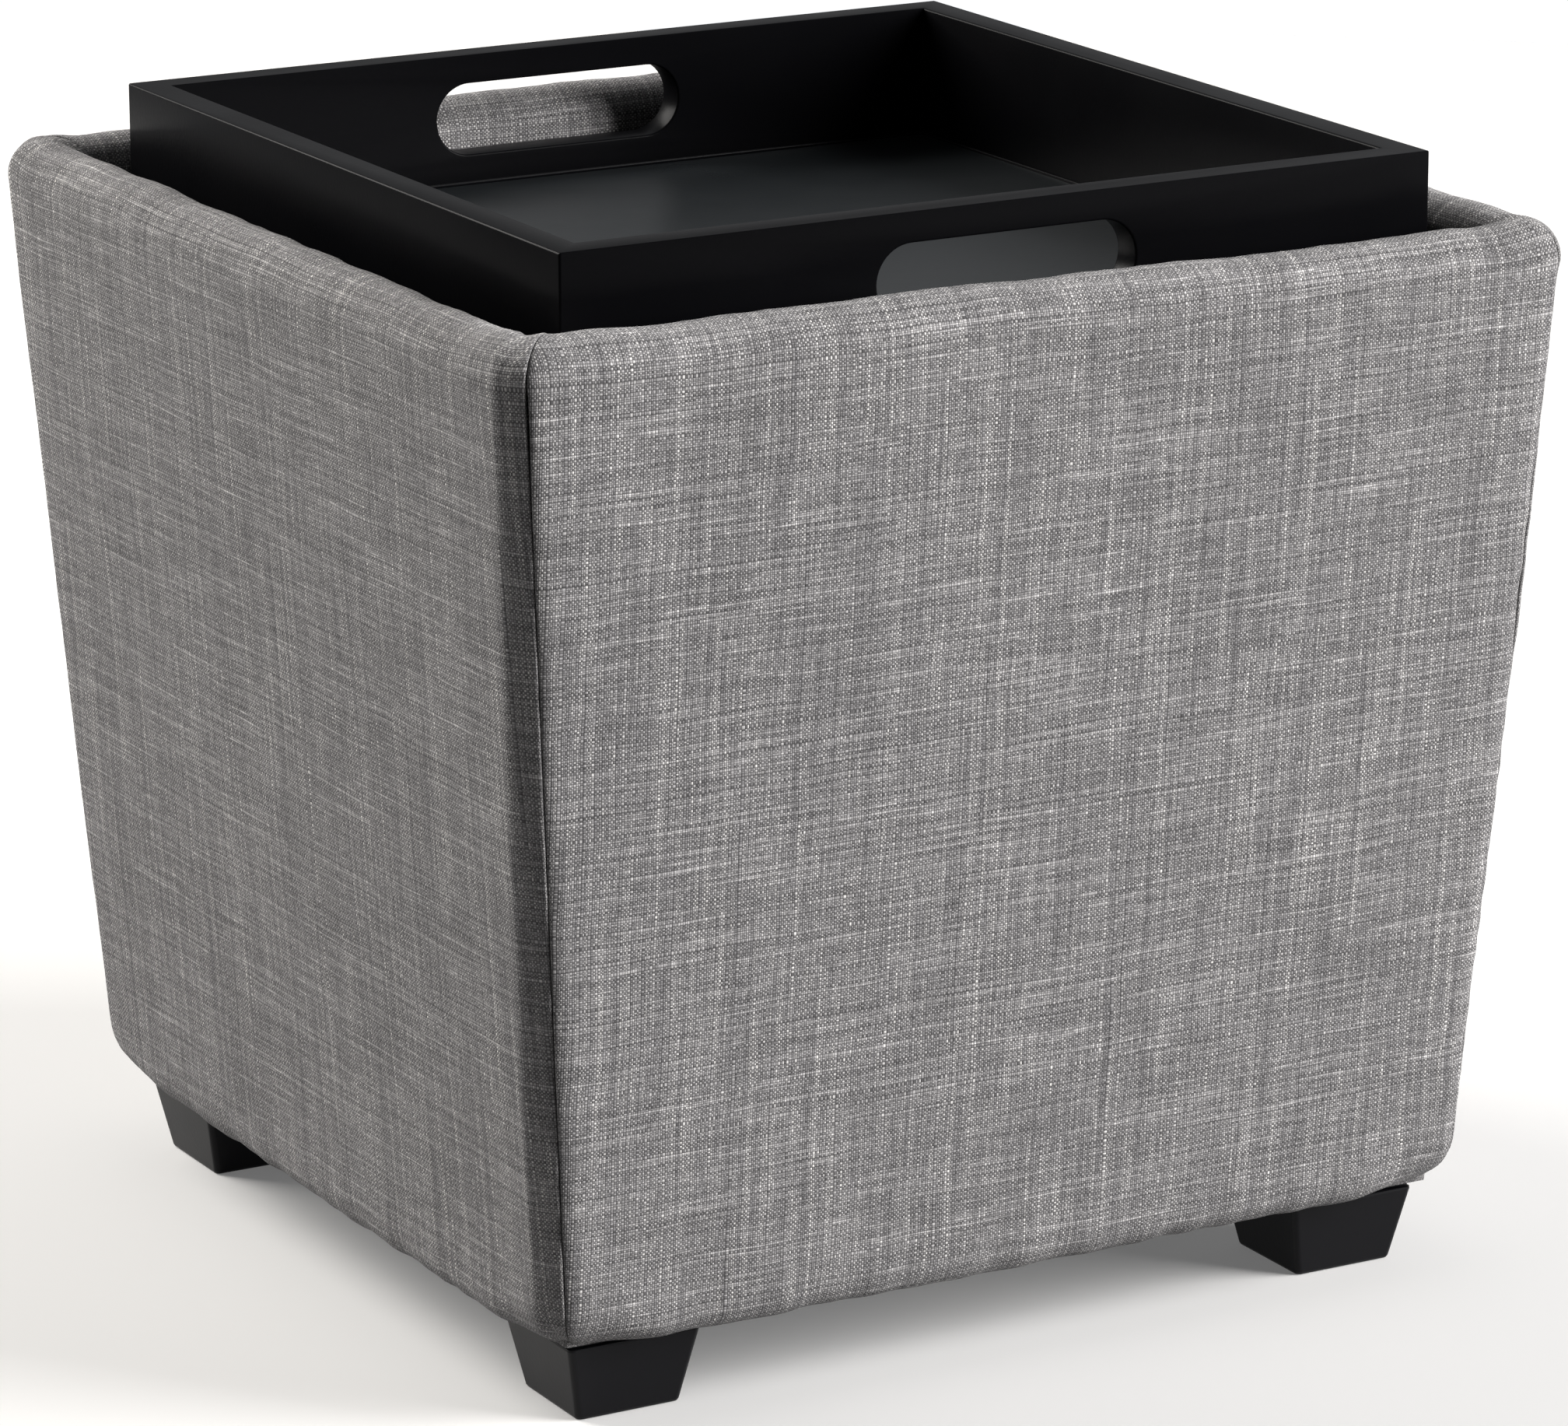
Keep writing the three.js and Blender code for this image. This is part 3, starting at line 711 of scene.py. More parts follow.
def cornerPulledIn(zone, half, z):
    # the corners are rounder than the hem at the bottom, so there they move in by this much
    rise = z - wall["bottom"]
    if zone not in ("face", "hem", "under") or rise >= wall["cornerRoll"]:
        return 0.0
    cornerRound, hemRound = wall["cornerRoll"], wall["bottomRoll"]
    cornerInset = cornerRound - math.sqrt(max(0, cornerRound ** 2 - (cornerRound - rise) ** 2))
    hemInset = hemRound - math.sqrt(max(0, hemRound ** 2 - (hemRound - min(rise, hemRound)) ** 2))
    if zone == "under":
        fade = (half - (hemHalf - wall["underTurn"])) / 12
        return (cornerInset - hemInset) * min(1, max(0, fade))
    return cornerInset - hemInset


def seamGape(zone, z, out, up):
    # the seam is open and deep on the faces, and nearly closed over the rim and inside
    closed, low, high = wall["gape"]
    if zone in ("face", "hem"):
        return low + (high - low) * smoothStep(z, *wall["gapeHeights"])
    if zone == "rim":
        return closed + (high - closed) * smoothStep(-math.atan2(up, out), -0.9, -0.1)
    return closed


def backOf(half, z, radius, zone):
    # where the padding meets the board behind it
    liningBack = rollHalf - wall["rollRadius"] + wall["thick"]
    boardHere = boardOut - leanAt(z) + leanAt(boardBox[1].z / mm)
    if zone == "lining":
        return liningBack - leanAt(z), z, radius + 0.8
    if zone == "rim":
        out = min(max(half, liningBack), boardOut)
        share = (out - liningBack) / (boardOut - liningBack)
        height = boardTop - 0.04 * abs(half - rollHalf) if 0 < share < 1 else min(z, boardTop)
        return out, min(height, boardTop), max(0.8, (radius + 0.8) * (1 - share) + 0.8 * share)
    if zone == "face":
        return boardHere, z, 0.8
    if zone == "hem":
        return boardHere, max(z, wall["bottom"] + wall["thick"]), 0.8
    return min(half, boardHere - 1.0), wall["bottom"] + wall["thick"], 0.8


def liftRim(points):
    # the rim stands a little fuller along the front and at its left corner, and its edge rises at corners
    x, y, z = points.T
    top = wall["top"]
    atFront = smoothStep(-y, *wall["frontEdge"])
    leftLift, rightLift = wall["frontLift"]
    along = rightLift + (leftLift - rightLift) * smoothStep(-x, *wall["leftFade"])
    lift = atFront * (along + wall["cornerLift"] * smoothStep(-x, *wall["leftCorner"]))
    z = z + lift * smoothStep(z, *[top - depth for depth in wall["liftDepth"]])
    nearCorner = smoothStep(np.minimum(np.abs(x), np.abs(y)), *wall["shoulderFrom"])
    nearTop = smoothStep(z, *[top - depth for depth in wall["shoulderDepth"]])
    share = np.where(x + y < -2 * wall["shoulderFrom"][0], wall["frontLeftShoulder"], 1)
    points[:, 2] = z + wall["shoulder"] * nearCorner * nearTop * share


def wallCover(side):
    name = sideNames[side]
    longer = side % 2 == 1  # the left and right covers wrap round the corners
    rows = profileRows()
    interior = int(2 * rollHalf / wall["grid"])
    arcCount = 9 if longer else 5
    outPoints, places, backPoints = [], [], []
    v = 0.0  # mm up the cloth
    last = rows[0]
    for half, z, radius, (out, up), zone in rows:
        v += math.hypot(half - last[0], z - last[1])
        last = (half, z)
        s, depth, reach = coverColumns(half, radius, longer, interior, arcCount)
        x, y, outX, outY = outlineAt(half, radius, s)
        push = paddingPush(side, zone, s, v, half, radius, z, reach) - depth * seamGape(zone, z, out, up)
        cornerNear = smoothStep(np.abs(s), half - radius - 34, half - radius + 4)
        offset = out * push - cornerPulledIn(zone, half, z) * cornerNear
        openBy = 0.0
        if zone == "face":
            openBy = wall["edgeOpen"] * math.exp(-((z - wall["edgeOpenAt"]) / wall["edgeOpenReach"]) ** 2)
        aside = np.sign(s) * openBy * np.clip(1 - (reach - np.abs(s)) / 2.2, 0, 1)
        outPoints.append(np.column_stack([x + outX * offset - outY * aside,
                                          y + outY * offset + outX * aside, z + up * push]))
        places.append(np.column_stack([np.sign(s) * (np.abs(s) + depth * 0.8), np.full_like(s, v),
                                       np.full_like(s, side * 7.0)]))
        # back of the padding, against the board
        backHalf, backZ, backRadius = backOf(half, z, radius, zone)
        s, _, _ = coverColumns(backHalf, backRadius, longer, interior, arcCount)
        x, y, _, _ = outlineAt(backHalf, backRadius, s)
        backPoints.append(np.column_stack([x, y, np.full_like(s, backZ)]))
    points = np.concatenate(outPoints + backPoints)
    rowCount, total = len(rows), len(points) // 2
    outside = gridFaces(rowCount, total // rowCount, loopColumns=False)
    faces = outside + [[corner + total for corner in face[::-1]] for face in outside]
    index = np.arange(total).reshape(rowCount, -1)
    for line in (index[0], index[-1], index[:, 0], index[:, -1]):
        faces += np.column_stack([line[:-1], line[1:], line[1:] + total, line[:-1] + total]).tolist()
    # from the side's own frame to the box's
    a = side * math.pi / 2
    x, y = points[:, 0], -points[:, 1]
    turned = np.column_stack([x * math.cos(a) - y * math.sin(a), x * math.sin(a) + y * math.cos(a),
                              points[:, 2]])
    liftRim(turned)
    cover = meshPiece(f"{name}_padded_cover", turned, faces, linenCover)
    both = np.concatenate(places + places)
    markPoints(cover, both)
    # painted shade inside the box, kept in the facing attribute: the lining darkens below an edge under the
    # rim
    edge = wall["top"] - wall["paintedShadeEdge"][0 if longer else 1]
    insideBox = both[:, 1] < rimAlong - wall["rollRadius"]
    facing = np.where(insideBox, 1 - smoothStep(turned[:, 2], edge - 2.5, edge + 1.5), 0.0)
    shade = cover.data.attributes.new("facing", "FLOAT", "POINT")
    shade.data.foreach_set("value", facing.astype(np.float32))
    faceOutwards(cover)
    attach(cover, "box")
    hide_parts(f"{name}_cover", f"{name}_foam_pad")
    return cover


covers = [wallCover(side) for side in range(4)]
print("padded covers made:", [len(c.data.polygons) for c in covers])


# tray

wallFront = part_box("tray_front_wall")
tray = {
    "half": -wallFront[0].y / mm,
    "wall": (wallFront[1].y - wallFront[0].y) / mm,
    "low": wallFront[0].z / mm,
    "top": wallFront[1].z / mm,
    "slotLength": 110.0,
    "slotHeight": 29.0,
    "slotZ": 415.5,
    "ease": 0.9,  # sanded edge
    "fillet": 1.3,  # lacquer in the corner of the floor
}


def slotCutter():
    # a long rounded prism through the front and back walls
    radius = tray["slotHeight"] / 2
    middle = tray["slotLength"] / 2 - radius
    ring = []
    for end, start in ((middle, -math.pi / 2), (-middle, math.pi / 2)):
        for a in np.linspace(start, start + math.pi, 25):
            ring.append((end + radius * math.cos(a), tray["slotZ"] + radius * math.sin(a)))
    points = [(x, y, z) for y in (-300, 300) for x, z in ring]
    cutter = meshPiece("slotCutter", points, gridFaces(2, len(ring), capped=True), trayPaint, smooth=False)
    faceOutwards(cutter)
    return cutter


def trayFrame():
    inner = tray["half"] - tray["wall"]
    low, top = tray["low"], tray["top"]
    points = []
    for half, z in ((tray["half"], low), (tray["half"], top), (inner, top), (inner, low)):
        points += [(-half, -half, z), (half, -half, z), (half, half, z), (-half, half, z)]
    faces = gridFaces(4, 4, loopRows=True)
    piece = meshPiece("tray_frame", points, faces, trayPaint, smooth=False)
    faceOutwards(piece)
    cutter = slotCutter()
    cut = piece.modifiers.new("slots", "BOOLEAN")
    cut.object = cutter
    cut.operation = "DIFFERENCE"
    cut.solver = "EXACT"
    applyModifiers(piece)
    bpy.data.objects.remove(cutter)
    ease = piece.modifiers.new("sandedEdges", "BEVEL")
    ease.width = tray["ease"] * mm
    ease.segments = 3
    ease.limit_method = "ANGLE"
    ease.angle_limit = math.radians(40)
    ease.harden_normals = False
    applyModifiers(piece)
    return smoothByAngle(piece, 30)


trayPiece = trayFrame()
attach(trayPiece, "lid")
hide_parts(*[f"tray_{name}_wall" for name in sideNames])


def paintFillet():
    # lacquer that gathered in the corner where the walls meet the tray floor
    inner = tray["half"] - tray["wall"]
    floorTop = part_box("lid_board")[1].z / mm
    size = tray["fillet"]
    profile = [(0.0, size)]
    for a in np.linspace(math.pi, math.pi * 1.5, 5):
        profile.append((size + size * math.cos(a), size + size * math.sin(a)))
    profile.append((-0.2, 0.02))
    points = []
    for right, back in ((-1, -1), (1, -1), (1, 1), (-1, 1)):
        for inset, up in profile:
            points.append((right * (inner - inset), back * (inner - inset), floorTop + 0.02 + up))
    faces = gridFaces(4, len(profile), loopRows=True)
    piece = meshPiece("tray_paint_fillet", points, faces, trayPaint)
    faceOutwards(piece)
    smoothByAngle(piece, 50)
    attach(piece, "lid")


paintFillet()
print("tray made")


# CAD nodes that keep their shape get their finishes

def finish(name, material):
    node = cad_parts[name]
    node.data.materials.clear()
    node.data.materials.append(material)


for name in sideNames:
    finish(f"{name}_side_board", fibreboard)
    finish(f"{name}_ledge", plyAcross if name in ("front", "back") else plyAlong)
for name in cornerNames:
    finish(f"{name}_corner_block", plyAcross)
    finish(f"{name}_tee_nut", zinc)
    finish(f"{name}_hanger_bolt", zinc)
    finish(f"{name}_foot", footPaint)
finish("bottom_board", plyAcross)
finish("cushion_base", plyAlong)
# the tray floor takes the black paint with painted sheen
finish("lid_board", trayFloorPaintedSheen)
print("CAD nodes finished")


# cushion under the lid

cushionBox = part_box("cushion_cover")
cushion = {
    "half": cushionBox[1].x / mm,
    "low": cushionBox[0].z / mm,
    "top": cushionBox[1].z / mm,
    "corner": 15.0,
    "startInside": 3.0,  # the cut cover starts smaller and is blown up by its foam
    "voxel": 6.0,
    "pressure": 4.0,
    "frames": 20,
    "mostMove": 7.0,
    "weltRadius": 2.4,
    "weltHeight": 8.5,  # above the padded face
    "stitchInside": 7.5,
    "stitchSpacing": 4.2,
}


def squareRing(half, radius, z, count):
    # points all the way round a rounded square
    quarter = 2 * (half - radius) + radius * math.pi / 2
    ring = []
    for side in range(4):
        s = (np.arange(count // 4) + 0.5) / (count // 4) * quarter - quarter / 2
        x, y, _, _ = outlineAt(half, radius, s)
        a = side * math.pi / 2
        ring += [(px * math.cos(a) + py * math.sin(a), px * math.sin(a) - py * math.cos(a), z)
                 for px, py in zip(x, y)]
    return ring


def cushionBlank():
    inside = cushion["startInside"]
    half = cushion["half"] - inside
    low, top = cushion["low"] + inside, cushion["top"] - 0.3
    rows = [(20, top), (90, top), (half - 8, top), (half - 2, top - 2), (half, top - 8),
            (half, low + 12), (half - 1.5, low + 6), (half - 6, low + 2), (half - 14, low),
            (120, low), (60, low), (20, low)]
    count = 160
    points = []
    for rowHalf, z in rows:
        points += squareRing(rowHalf, min(cushion["corner"], rowHalf * 0.5), z, count)
    faces = gridFaces(len(rows), count, capped=True)
    blank = meshPiece("cushion_padded", points, faces, linenCover)
    faceOutwards(blank, 0.0001)
    return blank


def blowUp(piece):
    remesh = piece.modifiers.new("evenMesh", "REMESH")
    remesh.mode = "VOXEL"
    remesh.voxel_size = cushion["voxel"] * mm
    applyModifiers(piece)
    held = piece.vertex_groups.new(name="stapled")
    start = np.array([v.co for v in piece.data.vertices])
    top = cushion["top"] * mm
    held.add([i for i, p in enumerate(start) if p[2] > top - 0.004], 1.0, "REPLACE")
    cloth = piece.modifiers.new("blownUp", "CLOTH")
    cloth.settings.quality = 6
    cloth.settings.mass = 0.3
    cloth.settings.use_pressure = True
    cloth.settings.uniform_pressure_force = cushion["pressure"]
    cloth.settings.effector_weights.gravity = 0
    cloth.settings.vertex_group_mass = "stapled"
    cloth.point_cache.frame_end = cushion["frames"]
    for f in range(1, cushion["frames"] + 1):
        bpy.context.scene.frame_set(f)
    applyModifiers(piece)
    bpy.context.scene.frame_set(1)
    points = np.array([v.co for v in piece.data.vertices])
    move = points - start
    length = np.linalg.norm(move, axis=1, keepdims=True)
    most = cushion["mostMove"] * mm
    points = start + move * np.minimum(1, most / np.maximum(length, 1e-9))
    reach = (cushion["half"] + 1.6) * mm
    points[:, :2] = np.clip(points[:, :2], -reach, reach)
    points[:, 2] = np.minimum(points[:, 2], top)
    piece.data.vertices.foreach_set("co", points.astype(np.float32).ravel())
    piece.vertex_groups.clear()
    fine = piece.modifiers.new("fine", "SUBSURF")
    fine.levels = 1
    fine.render_levels = 1
    applyModifiers(piece)
    return piece


def weaveByFaces(piece, number):
    # cloth laid flat on each face of a boxed shape; 800 and 600 only keep the faces' patterns apart
    mesh = piece.data
    mark = mesh.attributes.new("weavePlace", "FLOAT_VECTOR", "CORNER")
    values = np.zeros((len(mesh.loops), 3), np.float32)
    points = np.array([v.co for v in mesh.vertices]) / mm
    for face in mesh.polygons:
        n = face.normal
        for loop in face.loop_indices:
            x, y, z = points[mesh.loops[loop].vertex_index]
            if abs(n.z) > 0.62:
                values[loop] = (x, y + 800, number)
            elif abs(n.x) > abs(n.y):
                values[loop] = (y, z + 600, number + 1)
            else:
                values[loop] = (x, z + 600, number + 2)
    mark.data.foreach_set("vector", values.ravel())


def tube(name, path, radius, material, number, sides=10):
    # a closed round cord along a ring of points, in mm
    path = np.asarray(path, float)
    ahead = np.roll(path, -1, 0) - np.roll(path, 1, 0)
    ahead /= np.linalg.norm(ahead, axis=1, keepdims=True)
    side = np.cross(ahead, (0, 0, 1.0))
    side /= np.linalg.norm(side, axis=1, keepdims=True)
    up = np.cross(side, ahead)
    n = len(path)
    points, places = [], []
    run = np.concatenate([[0], np.cumsum(np.linalg.norm(np.diff(path, axis=0), axis=1))])
    for k in range(sides):
        a = 2 * math.pi * k / sides
        points.append(path + radius * (side * math.cos(a) + up * math.sin(a)))
        places.append(np.column_stack([run, np.full(n, 500 + a * radius), np.full(n, number)]))
    faces = gridFaces(sides, n, loopRows=True)
    piece = meshPiece(name, np.concatenate(points), faces, material)
    markPoints(piece, np.concatenate(places))
    faceOutwards(piece)
    return piece


def ringOnCushion(piece, inside, fromBelow):
    # where a seam lies on the blown-up cushion
    bpy.context.view_layer.update()
    path = []
    for x, y, z in squareRing(cushion["half"] - inside, cushion["corner"], 0, 240):
        if fromBelow:
            start, aim = Vector((x * mm, y * mm, 0.2)), Vector((0, 0, 1))
        else:
            flat = Vector((x, y, 0)).normalized()
            start = Vector((x * mm, y * mm, (cushion["low"] + cushion["weltHeight"]) * mm)) + flat * 0.05
            aim = -flat
        hit, where, _, _ = piece.ray_cast(start, aim)
        path.append(where / mm if hit else Vector((x, y, cushion["low"] + 4)))
    path = np.array([list(p) for p in path])
    return (np.roll(path, 1, 0) + path + np.roll(path, -1, 0)) / 3


# Geometry Nodes for what repeats

def repeatTree(name, alongPath):
    # puts a part along a path, or at points that say where they aim
    tree = bpy.data.node_groups.new(name, "GeometryNodeTree")
    tree.interface.new_socket(name="Geometry", in_out="OUTPUT", socket_type="NodeSocketGeometry")
    for label, kind in (("Geometry", "NodeSocketGeometry"), ("Part", "NodeSocketObject"),
                        ("Spacing", "NodeSocketFloat"), ("Wobble", "NodeSocketVector"),
                        ("Seed", "NodeSocketInt"), ("Finish", "NodeSocketMaterial")):
        tree.interface.new_socket(name=label, in_out="INPUT", socket_type=kind)
    given = addNode(tree, "NodeGroupInput").outputs
    if alongPath:
        curve = addNode(tree, "GeometryNodeMeshToCurve", {0: given["Geometry"]})
        spots = addNode(tree, "GeometryNodeResampleCurve", {"Curve": curve, "Length": given["Spacing"]},
                        mode="LENGTH")
        aim = addNode(tree, "GeometryNodeInputTangent")
        facing = addNode(tree, "FunctionNodeAlignRotationToVector", {"Vector": aim},
                         axis="X", pivot_axis="Z")
    else:
        spots = addNode(tree, "GeometryNodeMeshToPoints", {"Mesh": given["Geometry"]})
        aim = addNode(tree, "GeometryNodeInputNamedAttribute", {"Name": "aim"}, data_type="FLOAT_VECTOR")
        facing = addNode(tree, "FunctionNodeAlignRotationToVector", {"Vector": aim}, axis="Z")
    less = addNode(tree, "ShaderNodeVectorMath", {0: given["Wobble"], 1: (-1, -1, -1)},
                   operation="MULTIPLY")
    chance = addNode(tree, "FunctionNodeRandomValue",
                     {"Min": less, "Max": given["Wobble"], "Seed": given["Seed"]},
                     data_type="FLOAT_VECTOR")
    askew = addNode(tree, "FunctionNodeEulerToRotation", {0: chance})
    turned = addNode(tree, "FunctionNodeRotateRotation", {"Rotation": facing, "Rotate By": askew},
                     rotation_space="LOCAL")
    part = addNode(tree, "GeometryNodeObjectInfo", {"Object": given["Part"], "As Instance": True})
    placed = addNode(tree, "GeometryNodeInstanceOnPoints",
                     {"Points": spots, "Instance": part.outputs["Geometry"], "Rotation": turned})
    real = addNode(tree, "GeometryNodeRealizeInstances", {0: placed})
    painted = addNode(tree, "GeometryNodeSetMaterial", {"Geometry": real, "Material": given["Finish"]})
    addNode(tree, "NodeGroupOutput", {0: painted})
    return tree


def repeated(name, tree, points, edges, part, material, spacing=10.0, wobble=(0, 0, 0), seed=1, aims=None):
    # makes one plain mesh out of many copies of a part; points and spacing in mm
    mesh = bpy.data.meshes.new(name)
    mesh.from_pydata((np.asarray(points, float) * mm).tolist(), edges, [])
    if aims is not None:
        mark = mesh.attributes.new("aim", "FLOAT_VECTOR", "POINT")
        mark.data.foreach_set("vector", np.asarray(aims, np.float32).ravel())
    piece = bpy.data.objects.new(name, mesh)
    bpy.context.scene.collection.objects.link(piece)
    maker = piece.modifiers.new("repeat", "NODES")
    maker.node_group = tree
    chosen = {"Part": part, "Spacing": spacing * mm, "Wobble": wobble, "Seed": seed, "Finish": material}
    for item in tree.interface.items_tree:
        if item.in_out == "INPUT" and item.name in chosen:
            maker[item.identifier] = chosen[item.name]
    applyModifiers(piece)
    bpy.data.objects.remove(part)
    return smoothByAngle(piece, 40)


def turnedPart(name, profile, segments, material):
    # profile of radius and height in mm, turned about Z, closed at both ends
    points = []
    for radius, height in profile:
        for k in range(segments):
            a = 2 * math.pi * k / segments
            points.append((radius * math.cos(a), radius * math.sin(a), height))
    faces = gridFaces(len(profile), segments, capped=True)
    part = meshPiece(name, points, faces, material)
    faceOutwards(part)
    return part


screw = {
    "head": 3.5,  # mm, half widths
    "shank": 1.75,
    "length": 22.0,
    "recess": 1.9,
    "recessDeep": 1.3,
    "slot": 0.75,
}


def screwPart():
    # countersunk wood screw, head at the origin and point towards +Z, with a cross recess
    head, shank, length = screw["head"], screw["shank"], screw["length"]
    profile = [(head - 0.25, 0.05), (head, 0.25), (head, 0.5), (shank, 2.6), (shank, length - 5),
               (0.3, length)]
    part = turnedPart("screwPart", profile, 20, zinc)
    arm, wide = screw["recess"], screw["slot"] / 2
    cross = [(arm, -wide), (arm, wide), (wide, wide), (wide, arm), (-wide, arm), (-wide, wide), (-arm, wide),
             (-arm, -wide), (-wide, -wide), (-wide, -arm), (wide, -arm), (wide, -wide)]
    deep = screw["recessDeep"]
    points = [(x, y, -1) for x, y in cross] + [(x * 0.45, y * 0.8, deep) for x, y in cross]
    cutter = meshPiece("recessCutter", points, gridFaces(2, len(cross), capped=True), zinc)
    faceOutwards(cutter)
    cut = part.modifiers.new("recess", "BOOLEAN")
    cut.object = cutter
    cut.solver = "EXACT"
    applyModifiers(part)
    bpy.data.objects.remove(cutter)
    return part


def screwSpots(nodes):
    # each head lies at the end of its CAD screw that is nearer the middle of the box, or lower
    points, aims = [], []
    for node in nodes:
        low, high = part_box(node)
        middle = (low + high) / 2
        span = high - low
        axis = max(range(3), key=lambda i: span[i])
        aim = Vector((0, 0, 0))
        head = middle.copy()
        outward = 1 if axis == 2 or middle[axis] > 0 else -1
        aim[axis] = outward
        head[axis] = low[axis] if outward > 0 else high[axis]
        points.append(list(head / mm))
        aims.append(list(aim))
    return points, aims


pointTree = repeatTree("partAtPoints", False)
pathTree = repeatTree("partAlongPath", True)

cushionPiece = blowUp(cushionBlank())
weaveByFaces(cushionPiece, 40.0)
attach(cushionPiece, "lid")
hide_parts("cushion_cover", "cushion_foam")
weltPath = ringOnCushion(cushionPiece, 0.0, False)
welt = tube("cushion_welt", weltPath, cushion["weltRadius"], linenCover, 47.0)
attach(welt, "lid")
print("cushion made")

stitchPart = turnedPart("stitchPart", [(0.12, -1.3), (0.34, -1.0), (0.4, 0), (0.34, 1.0), (0.12, 1.3)], 6,
                        threadGrey)
stitchPart.data.transform(Matrix.Rotation(math.pi / 2, 4, "Y"))
stitchPath = ringOnCushion(cushionPiece, cushion["stitchInside"], True)
ringEdges = [(i, (i + 1) % len(stitchPath)) for i in range(len(stitchPath))]
stitches = repeated("cushion_stitches", pathTree, stitchPath, ringEdges, stitchPart, threadGrey,
                    spacing=cushion["stitchSpacing"], wobble=(0.05, 0.05, 0.08), seed=5)
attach(stitches, "lid")

ledgeScrewNodes = [f"{name}_ledge_screw_{which}" for name in sideNames for which in "ab"]
spots, aims = screwSpots(ledgeScrewNodes)
boxScrews = repeated("ledge_screws", pointTree, spots, [], screwPart(), zinc,
                     wobble=(0, 0, math.pi), seed=3, aims=aims)
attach(boxScrews, "box")
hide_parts(*ledgeScrewNodes)
trayScrewNodes = [f"tray_{name}_screw_{which}" for name in ("front", "back") for which in "ab"]
spots, aims = screwSpots(trayScrewNodes)
lidScrews = repeated("tray_screws", pointTree, spots, [], screwPart(), zinc,
                     wobble=(0, 0, math.pi), seed=4, aims=aims)
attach(lidScrews, "lid")
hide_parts(*trayScrewNodes)
print("stitches and screws made")


# sheets: felt on the floor of the box, non-woven under it, and the staples that hold it

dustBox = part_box("dust_cover")
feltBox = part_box("bottom_lining")
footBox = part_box("front_left_foot")
dust = {
    "half": dustBox[1].x / mm,
    "low": dustBox[0].z / mm,
    "thick": 0.5,
    "grid": 4.0,
    "sag": 2.4,  # mm in the middle
    "sagReach": 125.0,
    "ripple": 0.5,
    "rippleSize": 38.0,
    "boltRoom": 6.5,
    "stapleHalf": 177.0,  # ring of staples, from the middle
    "stapleReach": 120.0,  # the staples stop before the feet
    "stapleSpacing": 30.0,
}


def sheetGrid(name, half, spacing, heightAt, material, thick, skip=None):
    count = int(round(2 * half / spacing)) + 1
    line = np.linspace(-half, half, count)
    x, y = np.meshgrid(line, line)
    z = heightAt(x, y)
    points = np.column_stack([x.ravel(), y.ravel(), z.ravel()])
    index = np.arange(count * count).reshape(count, count)
    faces = []
    for r in range(count - 1):
        for c in range(count - 1):
            if skip and skip((line[c] + line[c + 1]) / 2, (line[r] + line[r + 1]) / 2):
                continue
            faces.append([int(index[r, c]), int(index[r, c + 1]), int(index[r + 1, c + 1]),
                          int(index[r + 1, c])])
    piece = meshPiece(name, points, faces, material)
    work = bmesh.new()
    work.from_mesh(piece.data)
    bmesh.ops.delete(work, geom=[v for v in work.verts if not v.link_faces], context="VERTS")
    work.to_mesh(piece.data)
    work.free()
    body = piece.modifiers.new("thickness", "SOLIDIFY")
    body.thickness = thick * mm
    body.offset = 0
    applyModifiers(piece)
    return piece


def dustHeight(x, y):
    middle = dust["low"] + 0.3
    reach = np.maximum(np.abs(x), np.abs(y)) / dust["sagReach"]
    sag = dust["sag"] * (1 - smoothStep(reach, 0.0, 1.0))
    ripple = dust["ripple"] * smoothNoise(x / dust["rippleSize"], y / dust["rippleSize"], 61)
    return middle - sag + ripple * (1 - smoothStep(reach, 0.75, 1.0))


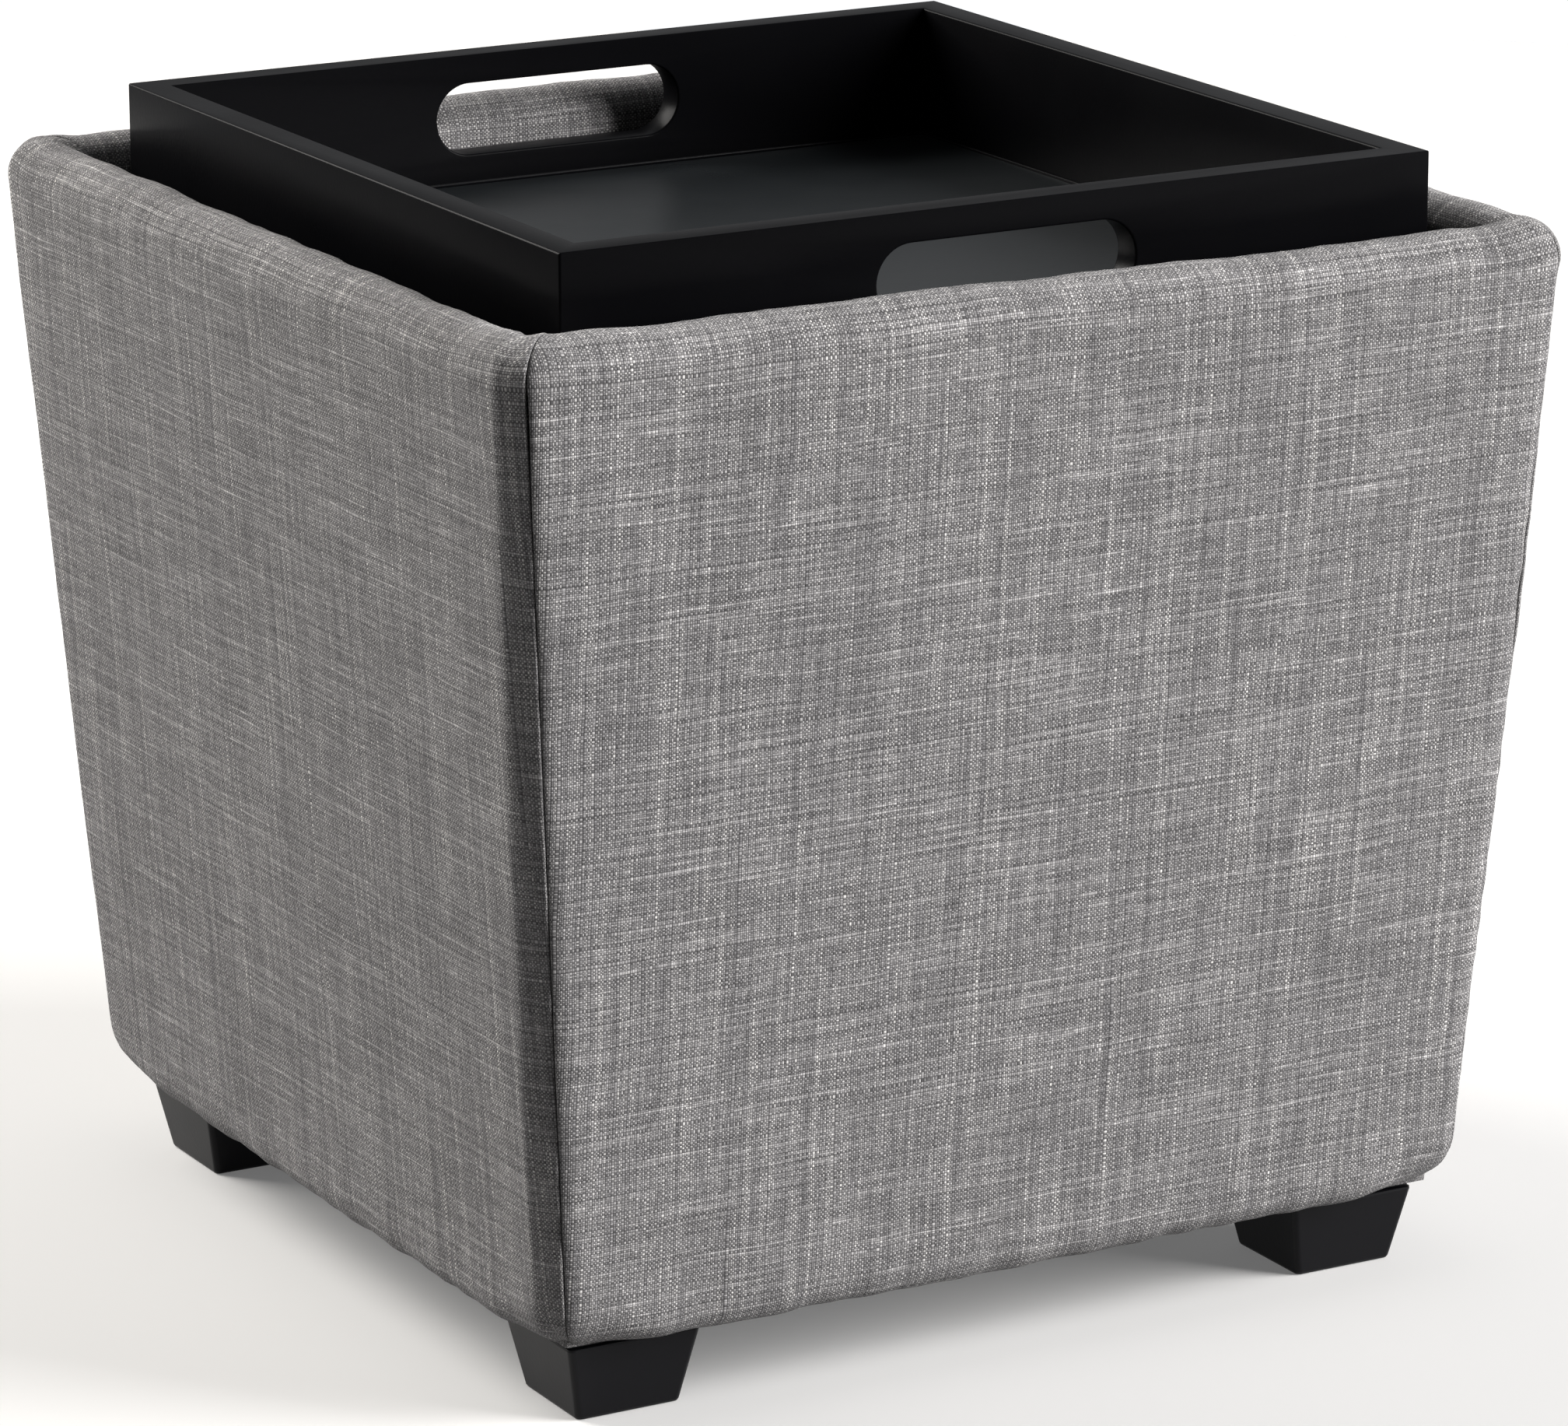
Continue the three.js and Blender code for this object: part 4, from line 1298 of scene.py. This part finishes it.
footX = (footBox[0].x + footBox[1].x) / 2 / mm
dustSheet = sheetGrid("dust_cover_sheet", dust["half"], dust["grid"], dustHeight, nonwoven, dust["thick"],
                      lambda x, y: math.hypot(abs(x) - abs(footX), abs(y) - abs(footX)) < dust["boltRoom"])
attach(dustSheet, "box")
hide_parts("dust_cover")

feltSettings = {
    "middle": (feltBox[0].z + feltBox[1].z) / 2 / mm,
    "thick": (feltBox[1].z - feltBox[0].z) / mm - 0.25,
    "grid": 5.0,
    "ripple": 0.12,
    "rippleSize": 45.0,
}


def feltHeight(x, y):
    size = feltSettings["rippleSize"]
    return feltSettings["middle"] + feltSettings["ripple"] * smoothNoise(x / size, y / size, 71)


feltSheet = sheetGrid("felt_lining_sheet", feltBox[1].x / mm, feltSettings["grid"], feltHeight, felt,
                      feltSettings["thick"])
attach(feltSheet, "box")
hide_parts("bottom_lining")


staple = {
    "half": 5.0,  # mm, half the crown
    "wire": 0.3,  # half the wire's thickness
    "leg": 5.0,
    "bend": 0.5,
}


def staplePart():
    # flat wire bent square: crown along X, legs up into the wood
    half, wire, leg, bend = staple["half"], staple["wire"], staple["leg"], staple["bend"]
    profile = [(-half, leg), (-half, bend), (-half + bend, 0), (half - bend, 0), (half, bend), (half, leg)]
    points = []
    for i, (x, z) in enumerate(profile):
        inX = x if i in (2, 3) else x - math.copysign(2 * wire, x)
        inZ = z + 2 * wire if i in (2, 3) else z
        points += [(x, -wire, z), (x, wire, z), (inX, wire, inZ), (inX, -wire, inZ)]
    faces = gridFaces(len(profile), 4, capped=True)
    part = meshPiece("staplePart", points, faces, stapleSteel, smooth=False)
    faceOutwards(part)
    return part


staplePoints, stapleEdges = [], []
for side in range(4):
    a = side * math.pi / 2
    for across in (-dust["stapleReach"], dust["stapleReach"]):
        x, y = across, -dust["stapleHalf"]
        staplePoints.append((x * math.cos(a) - y * math.sin(a), x * math.sin(a) + y * math.cos(a),
                             dust["low"] - 0.25))
    stapleEdges.append((2 * side, 2 * side + 1))
staples = repeated("dust_cover_staples", pathTree, staplePoints, stapleEdges, staplePart(), stapleSteel,
                   spacing=dust["stapleSpacing"], wobble=(0, 0, 0.12), seed=8)
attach(staples, "box")
print("sheets and staples made")
